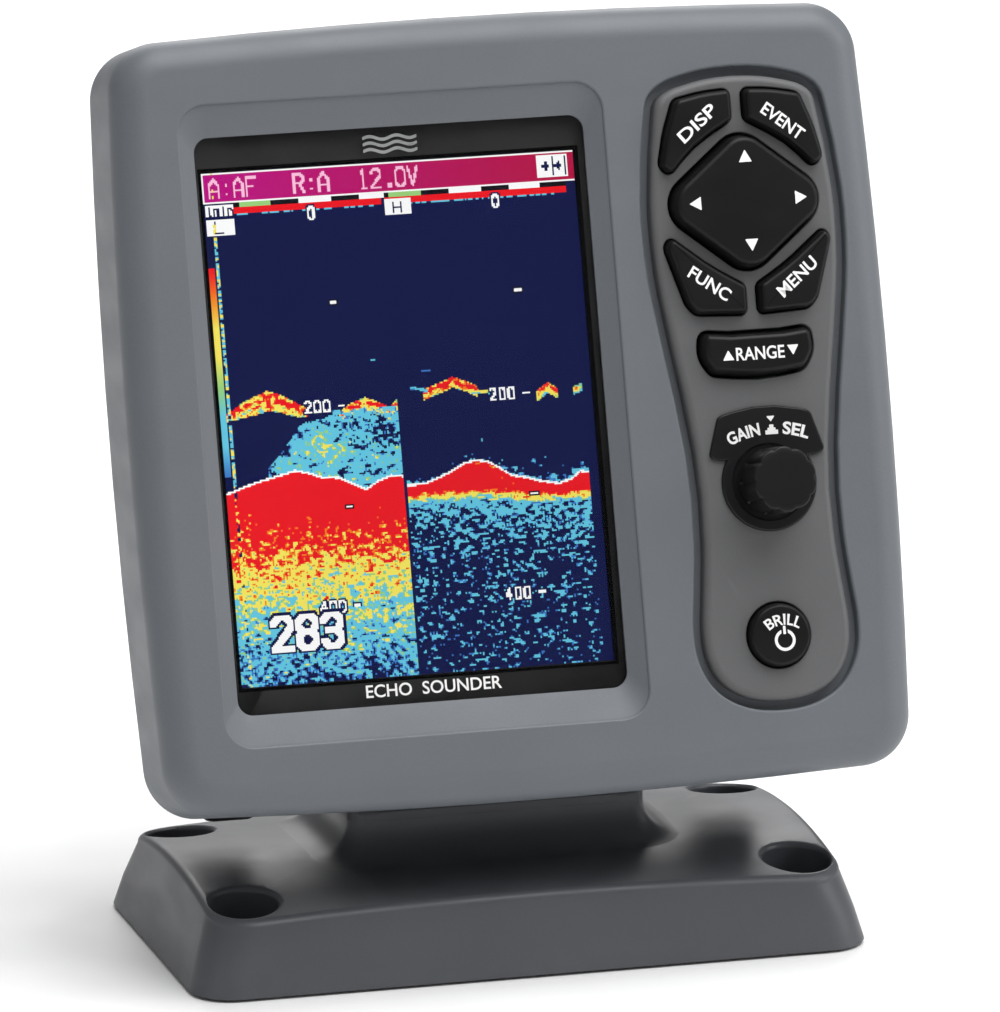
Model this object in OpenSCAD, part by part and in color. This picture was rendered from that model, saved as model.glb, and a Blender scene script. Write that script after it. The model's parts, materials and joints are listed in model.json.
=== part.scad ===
// Portrait echo sounder: display head on a tilting desk mount.
// Millimetres, +Z up, the screen faces -Y. The origin is on the floor, under the middle of the mount.

/* [Display case] */
// Width of the case across the middle of its bowed sides
case_w = 178; // [176:0.5:181]
// Height of the case across the middle of its bowed ends
case_h = 177; // [175:0.5:180]
// Depth of the front bezel, face to back edge
bezel_depth = 25; // [24.5:0.5:27]
// Depth of the whole case, face to the back of the rear cover
case_depth = 58; // [56:0.5:60]
// How far each side bows out between its corners
side_bow = 2.3; // [1:0.1:3]
// Corner radius seen from the front
case_corner = 14.5; // [12:0.5:16]
// Rounding of the front edge
front_round = 7.5; // [6:0.5:8]
// Wall thickness of the case mouldings
case_wall = 2.6; // [2.4:0.1:2.8]

/* [Screen] */
// Width of the lit area
lit_w = 86.4; // [84:0.2:88]
// Height of the lit area
lit_h = 115.2; // [113:0.2:117]
// How far the middle of the screen stands to the left of the middle of the case
screen_shift = 24.2; // [23:0.1:25]
// Depth of the sloping recess round the window
recess_depth = 3.2; // [3:0.1:3.4]

/* [Keypad] */
// Distance of the keypad's middle line to the right of the middle of the case
keypad_x = 55.8; // [55:0.1:56.5]
// Travel of a key
key_travel = 0.8; // [0.5:0.1:0.8]
// Rocking angle of the cursor pad and the range key, each way
rock_angle = 3; // [2:0.5:3]
// Radius of the gain knob
knob_r = 7.5; // [7:0.1:8]
// Height of the gain knob
knob_h = 12; // [11:0.2:13]

/* [Desk mount] */
// Width of the mount at the floor
base_w = 159; // [157:1:161]
// Depth of the mount at the floor
base_d = 86; // [85:1:88]
// Height of the crown of the mount's top
base_crown = 21.3; // [20.5:0.1:22]
// Distance between the left and right mounting holes
hole_pitch_x = 130; // [128:1:132]
// Distance between the front and back mounting holes
hole_pitch_y = 58; // [56:1:60]
// Width of the pedestal
pedestal_w = 70; // [69:1:72]

/* [Tilt] */
// Angle at which the display leans back at rest
lean = 17.2; // [16:0.1:18]
// Height of the tilt axis above the floor
pivot_z = 42; // [41.5:0.1:42.5]
// Distance of the tilt axis behind the middle of the mount
pivot_y = 8; // [7.5:0.1:8.5]

/* [Hidden] */

case_grey = [0.42, 0.44, 0.47];
base_grey = [0.30, 0.31, 0.33];
fascia_grey = [0.36, 0.36, 0.36];
key_black = [0.09, 0.09, 0.09];
board_green = [0.10, 0.30, 0.16];
steel = [0.70, 0.71, 0.73];
brass = [0.78, 0.64, 0.34];
rubber_black = [0.12, 0.12, 0.12];

e = 0.01;                        // overlap that keeps cuts clean
run_fit = 0.05;                  // radial clearance of a turning fit
part_gap = 0.3;                  // gap round a moving key

// Display frame: x right, y up the face, z out of the face; origin in the middle of the case face
face_y = -26.4;
face_z = 129.2;
pv_y = (pivot_y - face_y) * sin(lean) + (pivot_z - face_z) * cos(lean);
pv_z = (pivot_z - face_z) * sin(lean) - (pivot_y - face_y) * cos(lean);

// Screen stack, depths below the case face
screen_y = -0.9;
window_y = -0.2;
lip_t = 0.6;
glass_t = 2;
seal_t = 1.1;
panel_t = 2.2;
light_t = 4;
tray_t = 1.2;
glass_z = -recess_depth - lip_t;
seal_z = glass_z - glass_t;
panel_z = seal_z - seal_t;
light_z = panel_z - panel_t;
tray_z = light_z - light_t;
open_w = lit_w + 4.1;
open_h = lit_h + 14.1;
recess_w = open_w + 7.8;
recess_h = open_h + 14.2;
panel_w = lit_w + 11.6;
panel_h = lit_h + 14.8;

// Keypad stack
keypad_y = screen_y;
pocket_depth = 3.1;
pocket_floor = 5;
fascia_top = 1.2;
groove_w = 2.2;
key_top = 4.2;
power_top = 3.5;
cursor_top = 5.3;
range_top = 4.5;
key_bottom = -7;
pad_bottom = -4.5;
flange_z = -6.4;
flange_t = 0.9;
key_board_z = -11;
key_board_t = 1.6;
switch_top = key_bottom - key_travel - 0.3;
rock_z = -2;
rock_gap = 0.6;
rock_pin_z = -7.2;
cursor_at = [0, 43];
range_at = [0, 8.5];
knob_at = [0.6, -20.5];
power_at = [0, -55];
power_r = 7.25;
keypad_screw_at = [[-16, -64], [16, -64], [-17, 8], [17, 8]];
surround_top = 2.2;
knob_z = surround_top + key_travel + 0.2;
shaft_r = 3;
bush_r = 4.6;

// Rear cover and what it holds
flange_depth = 3;
cover_z = -bezel_depth - flange_depth;
cover_top = 78;
cover_bottom = -78;
cover_half_w = 78;
cover_taper = 7;
step_z = -40;
step_y = -55;
main_board_z = -20;
power_board_z = -48;
power_board_y = 33;
power_hole_w = 112;
power_hole_h = 56;
board_t = 1.6;
connector_y = -34;
connector_x = [-46, 0, 46];
ground_at = [64, -46];
cover_screw_at = [[82, 58], [82, 0], [82, -58], [50, 81.5], [50, -81.5]];

// Mount and tilt hardware
base_wall = 2.6;
base_lift = 0.6;
end_x = 52;
pad_t = 2;
hole_r = 2.6;
counterbore_r = 7.75;
counterbore_floor = 6;
ear_r = 10;
ear_t = 7.5;
pedestal_front = -10;
pedestal_back = 26;
pedestal_shoulder = 32;
yoke_half = pedestal_w / 2 - ear_t;
washer_t = 0.9;
barrel_half = yoke_half - washer_t - 0.2;
barrel_r = 8.5;
stud_r = 4;
knob_in = pedestal_w / 2 + 1.2;
knob_head_in = 53;
tilt_knob_r = 15.5;
tilt_boss_r = 7.5;
tilt_knob_t = 13;
insert_len = 12;

// ---------- helpers ----------
module on_display() {
  translate([0, face_y, face_z]) rotate([90 - lean, 0, 0]) children();
}

module on_keypad() {
  on_display() translate([keypad_x, keypad_y, 0]) children();
}

// Extrudes a (Y, Z) outline along X, centred on X = 0
module along_x(len) {
  rotate([90, 0, 90]) linear_extrude(len, center = true) children();
}

module slab(z, t) {
  translate([0, 0, z]) linear_extrude(t) children();
}

module rounded_rect(w, h, r) {
  offset(r = r, $fn = 32) square([w - 2 * r, h - 2 * r], center = true);
}

module block(w, h, z, t, x = 0, y = 0) {
  translate([x - w / 2, y - h / 2, z]) cube([w, h, t]);
}

module rod(r, z, t, x = 0, y = 0) {
  translate([x, y, z]) cylinder(r = r, h = t, $fn = 48);
}

module tube(r_out, r_in, z, t, x = 0, y = 0) {
  difference() {
    rod(r_out, z, t, x, y);
    rod(r_in, z - e, t + 2 * e, x, y);
  }
}

// Rod along X from x0 to x1
module x_rod(r, x0, x1, y = 0, z = 0) {
  translate([x0, y, z]) rotate([0, 90, 0]) cylinder(r = r, h = x1 - x0, $fn = 48);
}

module x_tube(r_out, r_in, x0, x1, y = 0, z = 0) {
  difference() {
    x_rod(r_out, x0, x1, y, z);
    x_rod(r_in, x0 - e, x1 + e, y, z);
  }
}

module mirrored(v = [1, 0, 0]) {
  children();
  mirror(v) children();
}

module four_corners(w, h) {
  for (sx = [-1, 1], sy = [-1, 1]) translate([sx * w / 2, sy * h / 2, 0]) children();
}

// Pan-head screw pointing along +Z from a seat at z = 0
module pan_screw(r, len, head_r, head_t) {
  rod(r, -e, len);
  difference() {
    rod(head_r, -head_t, head_t);
    block(head_r * 1.2, 0.8, -head_t - e, 0.8);
    block(0.8, head_r * 1.2, -head_t - e, 0.8);
  }
}

// Point on a smooth curve through p1 and p2
function spline_point(p0, p1, p2, p3, t) =
  0.5 * (2 * p1 + (p2 - p0) * t + (2 * p0 - 5 * p1 + 4 * p2 - p3) * t * t
         + (3 * p1 - p0 - 3 * p2 + p3) * t * t * t);

function smooth_chain(pts, steps) = [
  for (i = [0 : len(pts) - 2], k = [0 : steps - 1])
    spline_point(pts[max(i - 1, 0)], pts[i], pts[i + 1], pts[min(i + 2, len(pts) - 1)], k / steps)
];

function mirror_chain(pts) = concat(pts, [for (i = [len(pts) - 1 : -1 : 0]) [-pts[i][0], pts[i][1]]]);

// ---------- outlines ----------
// Rectangle whose sides bow outwards as parabolas
module case_outline(inset = 0) {
  n = 8;
  half_x = case_w / 2 - side_bow;
  half_y = case_h / 2 - side_bow;
  offset(delta = -inset) offset(r = case_corner, $fn = 32) offset(delta = -case_corner)
    polygon([for (side = [0 : 3], i = [0 : n - 1])
      let (t = 2 * i / n - 1,
           along = (side % 2 == 0 ? half_y : half_x) * t,
           out = (side % 2 == 0 ? case_w : case_h) / 2 - side_bow * t * t,
           a = side * 90)
      [out * cos(a) - along * sin(a), out * sin(a) + along * cos(a)]]);
}

// Hourglass line down the middle of the keypad groove, as half widths down the panel
keypad_half = [[8, 72.3], [16, 70.2], [19.5, 67.6], [20.8, 60], [22.2, 50], [22.8, 40], [22.4, 28],
               [21.1, 18], [19.3, 6], [17.4, -6], [16.3, -18], [16.1, -28], [17, -42], [18.4, -52],
               [17.8, -60], [14.2, -66.4], [7.8, -70]];

module keypad_outline(grow = 0) {
  offset(delta = grow)
    polygon(mirror_chain(concat([[0, 72.9]], smooth_chain(keypad_half, 3), [[7, -70], [0, -71]])));
}

module soft_polygon(pts, r) {
  offset(r = r, $fn = 24) offset(delta = -r) polygon(pts);
}

module upper_key_outline() {
  soft_polygon([[1.5, 68.6], [8, 68.2], [14.7, 66.9], [17.4, 59.7], [19.2, 52.2], [16.9, 49.8],
                [11, 56.2], [1.5, 61.6]], 1.5);
}

module lower_key_outline() {
  soft_polygon([[1.4, 17.6], [13.4, 18.2], [15.4, 20.6], [19.5, 33.8], [18, 36], [9, 28.8],
                [1.4, 24.2]], 1.3);
}

module cursor_outline() {
  corner = 6.3;
  offset(r = corner, $fn = 48) polygon([[10.85, 0], [0, 8.8], [-10.85, 0], [0, -8.8]]);
}

module range_outline() {
  soft_polygon(mirror_chain([[0, 4.3], [12.7, 5.6], [13.4, 0], [10.8, -3.9], [0, -5.4]]), 1.5);
}

module surround_outline() {
  circle(r = 11.1, $fn = 64);
  soft_polygon(mirror_chain([[0, 17.4], [5.4, 17], [10.9, 15.5], [13.7, 6.4], [11.6, 5.6], [7, 5]]), 1.2);
}

// ---------- desk mount ----------
module base_profile(inset) {
  hy = base_d / 2 - 4.8;
  edge_z = 17.2;
  offset(delta = -inset) offset(r = 2, $fn = 32) offset(delta = -2)
    polygon(concat([[base_d / 2 + 1, base_lift], [base_d / 2 + 1 - 3.6, edge_z]],
                   [for (i = [8 : -1 : -8]) [hy * i / 8, base_crown - (base_crown - edge_z) * pow(i / 8, 2)]],
                   [[-base_d / 2 - 1 + 3.6, edge_z], [-base_d / 2 - 1, base_lift]]));
}

module base_shape(inset) {
  draft = 6.4;
  top_z = 24;
  intersection() {
    along_x(base_w) base_profile(inset);
    hull() {
      linear_extrude(e) rounded_rect(base_w - 2 * inset, base_d - 2 * inset, 10);
      slab(top_z, e) rounded_rect(base_w - 2 * (inset + draft), base_d - 2 * inset - 4, 10);
    }
  }
}

module ear_profile() {
  hull() {
    translate([pivot_y, pivot_z]) circle(r = ear_r, $fn = 64);
    translate([pedestal_front, 16]) square([pedestal_back - pedestal_front, pedestal_shoulder - 16]);
  }
}

module mount_screw_holes() {
  four_corners(hole_pitch_x, hole_pitch_y) {
    rod(hole_r, -1, 30);
    rod(counterbore_r, counterbore_floor, 30);
  }
}

// Middle of the mount, a hollow moulding with the pedestal and its two ears
module mount_base() {
  hollow_w = pedestal_w - 8;
  color(base_grey) difference() {
    union() {
      intersection() {
        difference() {
          base_shape(0);
          translate([0, 0, -base_wall]) base_shape(base_wall);
          block(base_w - 8, base_d - 8, 0, 3);
        }
        block(2 * end_x, 200, 0, 60);
      }
      along_x(pedestal_w) ear_profile();
    }
    // underside of the pedestal is hollow
    block(hollow_w, pedestal_back - pedestal_front - 8, -1, 27, 0, (pedestal_front + pedestal_back) / 2);
    // gap between the ears, behind the front lip
    block(2 * yoke_half, 60, 30, 40, 0, pedestal_front + 4 + 30);
    x_rod(stud_r + 2, -60, 60, pivot_y, pivot_z);
  }
}

// Thick end of the mount, with two screw wells
module mount_end() {
  difference() {
    intersection() {
      base_shape(0);
      translate([end_x, -60, 0]) cube(120);
    }
    block(base_w - 8, base_d - 8, -1, 1 + pad_t + 0.2);
    mount_screw_holes();
  }
}

module mount_end_right() { color(base_grey) mount_end(); }
module mount_end_left() { color(base_grey) mirror([1, 0, 0]) mount_end(); }

module base_pad() {
  color(rubber_black) difference() {
    linear_extrude(pad_t) rounded_rect(base_w - 9, base_d - 9, 6);
    four_corners(hole_pitch_x, hole_pitch_y) rod(hole_r + 1, -1, pad_t + 2);
  }
}

module ear_bushes() {
  color("white") mirrored() x_tube(stud_r + 2, stud_r + run_fit, yoke_half, pedestal_w / 2, pivot_y, pivot_z);
}

module friction_washers() {
  color("dimgray") mirrored()
    x_tube(ear_r - 1, stud_r + 0.4, yoke_half - washer_t, yoke_half, pivot_y, pivot_z);
}

// ---------- tilt hardware ----------
module tilt_knob_shape() {
  grips = 9;
  grip_r = 3.4;
  knob_out = knob_head_in + tilt_knob_t;
  difference() {
    union() {
      x_rod(tilt_knob_r, knob_head_in, knob_out, pivot_y, pivot_z);
      x_rod(tilt_boss_r, knob_in, knob_head_in + 1, pivot_y, pivot_z);
    }
    translate([0, pivot_y, pivot_z]) for (i = [0 : grips - 1]) rotate([(i + 0.5) * 360 / grips, 0, 0])
      x_rod(grip_r, knob_head_in - 1, knob_out + 1, tilt_knob_r + grip_r - 1.6, 0);
    x_rod(stud_r, knob_in - e, knob_out - 3, pivot_y, pivot_z);
  }
}

module tilt_stud_shape() {
  x_rod(stud_r, yoke_half - insert_len, knob_head_in + tilt_knob_t - 3, pivot_y, pivot_z);
}

module tilt_knob_right() { color(key_black) tilt_knob_shape(); }
module tilt_knob_left() { color(key_black) mirror([1, 0, 0]) tilt_knob_shape(); }
module tilt_stud_right() { color(steel) tilt_stud_shape(); }
module tilt_stud_left() { color(steel) mirror([1, 0, 0]) tilt_stud_shape(); }

bracket_half_w = 47;
bracket_screw_x = [33, 42];
bracket_y = -66;
bracket_t = 3;

module tilt_bracket() {
  color(base_grey) on_display() difference() {
    union() {
      along_x(2 * barrel_half) hull() {
        translate([pv_y, pv_z]) circle(r = barrel_r, $fn = 64);
        translate([bracket_y - 6, step_z - bracket_t]) square([12, 1]);
      }
      block(2 * bracket_half_w, 12, step_z - bracket_t, bracket_t, 0, bracket_y);
    }
    x_rod(stud_r + run_fit, -60, 60, pv_y, pv_z);
    mirrored() x_rod(stud_r + 2, barrel_half - insert_len, barrel_half + 1, pv_y, pv_z);
    mirrored() for (x = bracket_screw_x) rod(1.6, step_z - bracket_t - 1, bracket_t + 2, x, bracket_y);
  }
}

module bracket_inserts() {
  color(brass) on_display() mirrored()
    x_tube(stud_r + 2, stud_r + run_fit, barrel_half - insert_len, barrel_half - 0.2, pv_y, pv_z);
}

module bracket_screws() {
  color(steel) on_display() mirrored() for (x = bracket_screw_x)
    translate([x, bracket_y, step_z - bracket_t]) pan_screw(1.5, bracket_t + 6, 2.8, 2);
}

// ---------- case ----------
module bezel_outer() {
  hull() for (a = [0 : 22.5 : 90])
    slab(-bezel_depth, bezel_depth - front_round * (1 - sin(a))) case_outline(front_round * (1 - cos(a)));
}

module bezel_hollow() {
  hull() {
    slab(-bezel_depth - 1, bezel_depth - 3 + 1) case_outline(front_round + 1);
    slab(-bezel_depth - 1, bezel_depth - front_round - 2 + 1) case_outline(case_wall);
  }
}

module at_window() {
  translate([-screen_shift, window_y, 0]) children();
}

module at_screen() {
  translate([-screen_shift, screen_y, 0]) children();
}

module cover_screw_places() {
  mirrored() for (p = cover_screw_at) translate([p[0], p[1], 0]) children();
}

module key_holes(gap, z, t) {
  slab(z, t) {
    mirrored() {
      offset(delta = gap) upper_key_outline();
      offset(delta = gap) lower_key_outline();
    }
    offset(delta = gap + rock_gap - part_gap) translate(cursor_at) cursor_outline();
    offset(delta = gap + rock_gap - part_gap) translate(range_at) range_outline();
  }
  rod(power_r + gap, z, t, power_at[0], power_at[1]);
}

module front_bezel() {
  color(case_grey) on_display() difference() {
    union() {
      difference() {
        bezel_outer();
        bezel_hollow();
      }
      at_window() slab(seal_z, -seal_z - 1) rounded_rect(recess_w + 4, recess_h + 4, 6);
      translate([keypad_x, keypad_y, 0]) {
        slab(-pocket_floor, pocket_floor - 1) keypad_outline(groove_w / 2 + 2);
        for (p = keypad_screw_at) rod(2.6, key_board_z, -key_board_z - 3, p[0], p[1]);
      }
      intersection() {
        bezel_outer();
        cover_screw_places() rod(3.6, -bezel_depth + 1.2, bezel_depth - 6);
      }
    }
    at_window() {
      hull() {
        slab(-recess_depth, e) rounded_rect(open_w, open_h, 3.5);
        slab(e, e) rounded_rect(recess_w, recess_h, 6.5);
      }
      slab(-9, 9) rounded_rect(open_w, open_h, 3.5);
      slab(-9, 9 + glass_z) rounded_rect(open_w + 4.5, open_h + 4.5, 4);
    }
    translate([keypad_x, keypad_y, 0]) {
      slab(-pocket_depth, 5) keypad_outline(groove_w / 2);
      key_holes(part_gap, -8, 8);
      rod(bush_r + 0.1, -8, 8, knob_at[0], knob_at[1]);
      for (p = keypad_screw_at) rod(1.2, key_board_z - 1, 6, p[0], p[1]);
    }
    cover_screw_places() rod(1.5, -bezel_depth, 14);
  }
}

module cover_solid(inset) {
  mid_y = (cover_top + cover_bottom) / 2;
  tall = cover_top - cover_bottom;
  difference() {
    hull() {
      translate([0, mid_y, cover_z - e])
        linear_extrude(1) rounded_rect(2 * cover_half_w - 2 * inset, tall - 2 * inset, 12);
      translate([0, mid_y, -case_depth + inset])
        linear_extrude(1) rounded_rect(2 * (cover_half_w - cover_taper - inset), tall - 2 * cover_taper - 2 * inset, 12);
    }
    block(200, 60, -90, 90 + step_z + inset, 0, step_y - 30 + inset);
  }
}

module rear_cover() {
  color(case_grey) on_display() difference() {
    union() {
      slab(cover_z, flange_depth) case_outline(case_wall + 0.4);
      cover_solid(0);
    }
    difference() {
      union() {
        cover_solid(case_wall);
        slab(cover_z - e, flange_depth + 1) rounded_rect(2 * cover_half_w - 16, cover_top - cover_bottom - 16, 8);
      }
      // posts for the power board and the bracket screws
      translate([0, power_board_y, 0]) four_corners(power_hole_w, power_hole_h)
        rod(3.2, -case_depth, case_depth + power_board_z - board_t);
      mirrored() for (x = bracket_screw_x) rod(3.4, step_z - 1, 9, x, bracket_y);
    }
    cover_screw_places() rod(1.7, cover_z - 1, flange_depth + 2);
    for (x = connector_x) rod(7.1, -case_depth - 1, 8, x, connector_y);
    mirrored() for (x = bracket_screw_x) rod(1.5, step_z - 1, 8, x, bracket_y);
    translate([0, power_board_y, 0]) four_corners(power_hole_w, power_hole_h) rod(1.25, -case_depth + 2, 30);
    rod(2.05, -case_depth - 1, 8, ground_at[0], ground_at[1]);
  }
}

module case_gasket() {
  color(rubber_black) on_display() difference() {
    slab(-bezel_depth, 1) difference() {
      case_outline(case_wall + 0.1);
      case_outline(case_wall + 2.2);
    }
    cover_screw_places() rod(1.8, -bezel_depth - 1, 3);
  }
}

module cover_screws() {
  color(steel) on_display() cover_screw_places() translate([0, 0, cover_z]) pan_screw(1.5, 12, 2.8, 2);
}

// ---------- screen ----------
module display_window() {
  color([0.03, 0.03, 0.04]) on_display() at_window()
    slab(seal_z, glass_t) rounded_rect(open_w + 4, open_h + 4, 3.8);
}

module frame_ring(z, t, w, h, in_w, in_h) {
  slab(z, t) difference() {
    square([w, h], center = true);
    square([in_w, in_h], center = true);
  }
}

module window_seal() {
  color(rubber_black) on_display() at_screen()
    frame_ring(panel_z, seal_t, open_w + 6, open_h + 8, lit_w + 2, lit_h + 2);
}

module lcd_panel() {
  color([0.04, 0.08, 0.3]) on_display() at_screen() block(panel_w, panel_h, light_z, panel_t);
}

module backlight() {
  color("white") on_display() at_screen() block(panel_w - 0.4, panel_h - 0.4, tray_z, light_t);
}

module lcd_frame() {
  color(steel) on_display() at_screen() difference() {
    block(panel_w + 4, panel_h + 4, tray_z - tray_t, panel_z - tray_z + tray_t);
    block(panel_w, panel_h, tray_z, 20);
    block(22, 4, tray_z - 2, 4, 0, -panel_h / 2 + 8);
  }
}

module lcd_cable() {
  color("goldenrod") on_display() at_screen()
    block(20, 0.4, main_board_z, tray_z - main_board_z, 0, -panel_h / 2 + 8);
}

// ---------- boards ----------
board_hole_w = 80;
board_hole_h = 110;

module main_board() {
  color(board_green) on_display() at_screen() difference() {
    block(118, 140, main_board_z - board_t, board_t, 6, 0);
    four_corners(board_hole_w, board_hole_h) rod(1.6, main_board_z - 5, 8);
  }
}

module board_standoffs() {
  color(brass) on_display() at_screen() four_corners(board_hole_w, board_hole_h)
    tube(3, 1.2, main_board_z, tray_z - tray_t - main_board_z);
}

module board_screws() {
  color(steel) on_display() at_screen() four_corners(board_hole_w, board_hole_h)
    translate([0, 0, main_board_z - board_t]) pan_screw(1.2, board_t + 4, 2.6, 1.8);
}

// Width, height, thickness and place of each chip on the back of the main board
chips = [[24, 24, 2.2, -10, 18], [16, 22, 1.8, 24, 20], [16, 22, 1.8, 24, -6], [12, 8, 1.6, -18, -16],
         [20, 14, 3.2, 0, -40], [10, 10, 1.6, 40, 44]];

module processor_chips() {
  color([0.1, 0.1, 0.1]) on_display() at_screen() for (c = chips)
    block(c[0], c[1], main_board_z - board_t - c[2], c[2], c[3], c[4]);
}

module power_board() {
  color(board_green) on_display() difference() {
    block(124, 68, power_board_z - board_t, board_t, 0, power_board_y);
    translate([0, power_board_y, 0]) four_corners(power_hole_w, power_hole_h) rod(1.3, power_board_z - 5, 8);
  }
}

module power_screws() {
  color(steel) on_display() translate([0, power_board_y, power_board_z])
    four_corners(power_hole_w, power_hole_h) mirror([0, 0, 1]) pan_screw(1.25, 6, 2.6, 1.8);
}

module transformer() {
  color([0.25, 0.2, 0.16]) on_display() translate([-34, 44, power_board_z]) {
    block(26, 22, 0, 3);
    block(20, 8, 3, 12);
    block(30, 22, 4, 9);
  }
}

module capacitors() {
  color([0.15, 0.17, 0.3]) on_display()
    for (p = [[0, 52], [0, 36], [16, 52], [16, 36]]) rod(6.3, power_board_z, 15, p[0], p[1]);
}

module heat_sink() {
  color("silver") on_display() translate([44, 42, power_board_z]) {
    block(34, 3, 0, 15);
    for (i = [-3 : 3]) block(2, 12, 0, 15, i * 5, 0);
  }
}

// ---------- rear connectors ----------
connector_reach = 12;
socket_depth = 9;
// Contact pins in the power, sounder and data connectors
pin_counts = [4, 8, 6];

module round_connector(place) {
  color("silver") on_display() translate([connector_x[place], connector_y, -case_depth]) difference() {
    union() {
      rod(10.4, -2, 2);
      rod(8.2, -connector_reach, connector_reach);
      rod(7, -1, 10);
    }
    rod(6.8, -connector_reach - e, socket_depth);
  }
}

module power_connector() { round_connector(0); }
module sounder_connector() { round_connector(1); }
module data_connector() { round_connector(2); }

module connector_pins() {
  ring_r = 4;
  color(brass) on_display() for (place = [0 : 2])
    translate([connector_x[place], connector_y, socket_depth - connector_reach - case_depth - e])
      for (i = [1 : pin_counts[place]]) rotate([0, 0, i * 360 / pin_counts[place]]) rod(0.6, -7, 7, ring_r, 0);
}

module connector_nuts() {
  color(steel) on_display() for (x = connector_x) translate([x, connector_y, -case_depth + case_wall]) difference() {
    cylinder(r = 10, h = 3, $fn = 6);
    rod(7, -1, 5);
  }
}

module ground_terminal() {
  color(brass) on_display() translate([ground_at[0], ground_at[1], -case_depth]) {
    rod(2, -10, 18);
    translate([0, 0, -2]) cylinder(r = 5, h = 2, $fn = 6);
    tube(5, 2, -3, 1);
  }
}

module buzzer() {
  color(key_black) on_display() difference() {
    rod(6, main_board_z - board_t - 7, 7, 36, 60);
    rod(1.2, main_board_z - board_t - 8, 4, 36, 60);
  }
}

// ---------- keypad, fixed parts ----------
module keypad_fascia() {
  color(fascia_grey) on_keypad() difference() {
    slab(-pocket_depth, pocket_depth + fascia_top) keypad_outline(-groove_w / 2);
    key_holes(part_gap, -5, 10);
    rod(6.6, -5, 10, knob_at[0], knob_at[1]);
  }
}

module knob_surround() {
  color(key_black) on_keypad() translate(knob_at) difference() {
    slab(fascia_top, surround_top - fascia_top) surround_outline();
    rod(6.6, -1, 10);
  }
}

module keypad_board() {
  color(board_green) on_keypad() difference() {
    slab(key_board_z - key_board_t, key_board_t) translate([0, 1]) rounded_rect(40, 138, 4);
    for (p = keypad_screw_at) rod(1.3, -20, 20, p[0], p[1]);
  }
}

module keypad_screws() {
  color(steel) on_keypad() for (p = keypad_screw_at)
    translate([p[0], p[1], key_board_z - key_board_t]) pan_screw(1.2, key_board_t + 3.6, 2.4, 1.6);
}

// Places of the switches under the keys, the cursor pad and the range key
switch_at = [[10, 63], [-10, 63], [11, 24], [-11, 24], power_at,
             cursor_at + [11, 0], cursor_at - [11, 0], cursor_at + [0, 9.5], cursor_at - [0, 9.5],
             range_at + [9, 0], range_at - [9, 0]];

module key_switches() {
  color("gainsboro") on_keypad() for (p = switch_at) {
    block(5, 5, key_board_z, 1.4, p[0], p[1]);
    rod(1.6, key_board_z, switch_top - key_board_z, p[0], p[1]);
  }
}

module cursor_post() {
  color("whitesmoke") on_keypad() translate(cursor_at) {
    rod(4, key_board_z, 2);
    rod(2, key_board_z, rock_z - 1.6 - key_board_z);
  }
}

module encoder_body() {
  color(steel) on_keypad() translate(knob_at) difference() {
    union() {
      block(14, 14, key_board_z, -pocket_floor - key_board_z);
      rod(bush_r, key_board_z, 1.4 - key_board_z);
    }
    rod(shaft_r + run_fit, -9, 20);
    rod(5.4, -10.3, 4);
  }
}

module encoder_nut() {
  color(steel) on_keypad() translate(knob_at) difference() {
    translate([0, 0, -pocket_depth]) cylinder(r = 6.3, h = 2, $fn = 6);
    rod(bush_r, -5, 10);
  }
}

// ---------- keypad, moving parts ----------
// Key with a retaining flange behind the panel
module flanged_key() {
  slab(key_bottom, key_top - key_bottom) children();
  slab(flange_z, flange_t) offset(delta = 0.9) children();
}

module event_key() { color(key_black) on_keypad() flanged_key() upper_key_outline(); }
module disp_key() { color(key_black) on_keypad() mirror([1, 0, 0]) flanged_key() upper_key_outline(); }
module menu_key() { color(key_black) on_keypad() flanged_key() lower_key_outline(); }
module func_key() { color(key_black) on_keypad() mirror([1, 0, 0]) flanged_key() lower_key_outline(); }

module power_key() {
  color(key_black) on_keypad() translate(power_at) {
    rod(power_r, key_bottom, power_top - key_bottom);
    rod(power_r + 1, flange_z, flange_t);
  }
}

module cursor_pad() {
  color(key_black) on_keypad() translate(cursor_at) difference() {
    union() {
      slab(pad_bottom, cursor_top - pad_bottom) cursor_outline();
      for (p = [[11, 0], [-11, 0], [0, 9.5], [0, -9.5]]) rod(1.2, rock_pin_z, 4, p[0], p[1]);
    }
    rod(6.4, -6, 6 + rock_z + 1.6);
  }
}

module cursor_gimbal() {
  color("whitesmoke") on_keypad() translate(cursor_at) rod(5.6, rock_z - 1, 2);
}

module range_rocker() {
  color(key_black) on_keypad() translate(range_at) {
    slab(pad_bottom, range_top - pad_bottom) range_outline();
    for (x = [-9, 9]) rod(1.2, rock_pin_z, 4, x, 0);
  }
}

module encoder_plunger() {
  color("whitesmoke") on_keypad() translate(knob_at) tube(5, shaft_r + run_fit, -8.4, 1.4);
}

module gain_knob() {
  flutes = 14;
  flute_r = 1.1;
  color(key_black) on_keypad() translate(knob_at) difference() {
    rod(knob_r, knob_z, knob_h);
    for (i = [0 : flutes - 1]) rotate([0, 0, i * 360 / flutes]) rod(flute_r, knob_z + 1.6, 20, knob_r + flute_r - 0.45, 0);
    rod(shaft_r, knob_z - 1, knob_h - 1.4);
  }
}

module knob_shaft() {
  color(steel) on_keypad() translate(knob_at) {
    rod(shaft_r, -8.8, knob_z + knob_h - 2.4 + 8.8);
  }
}

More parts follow.
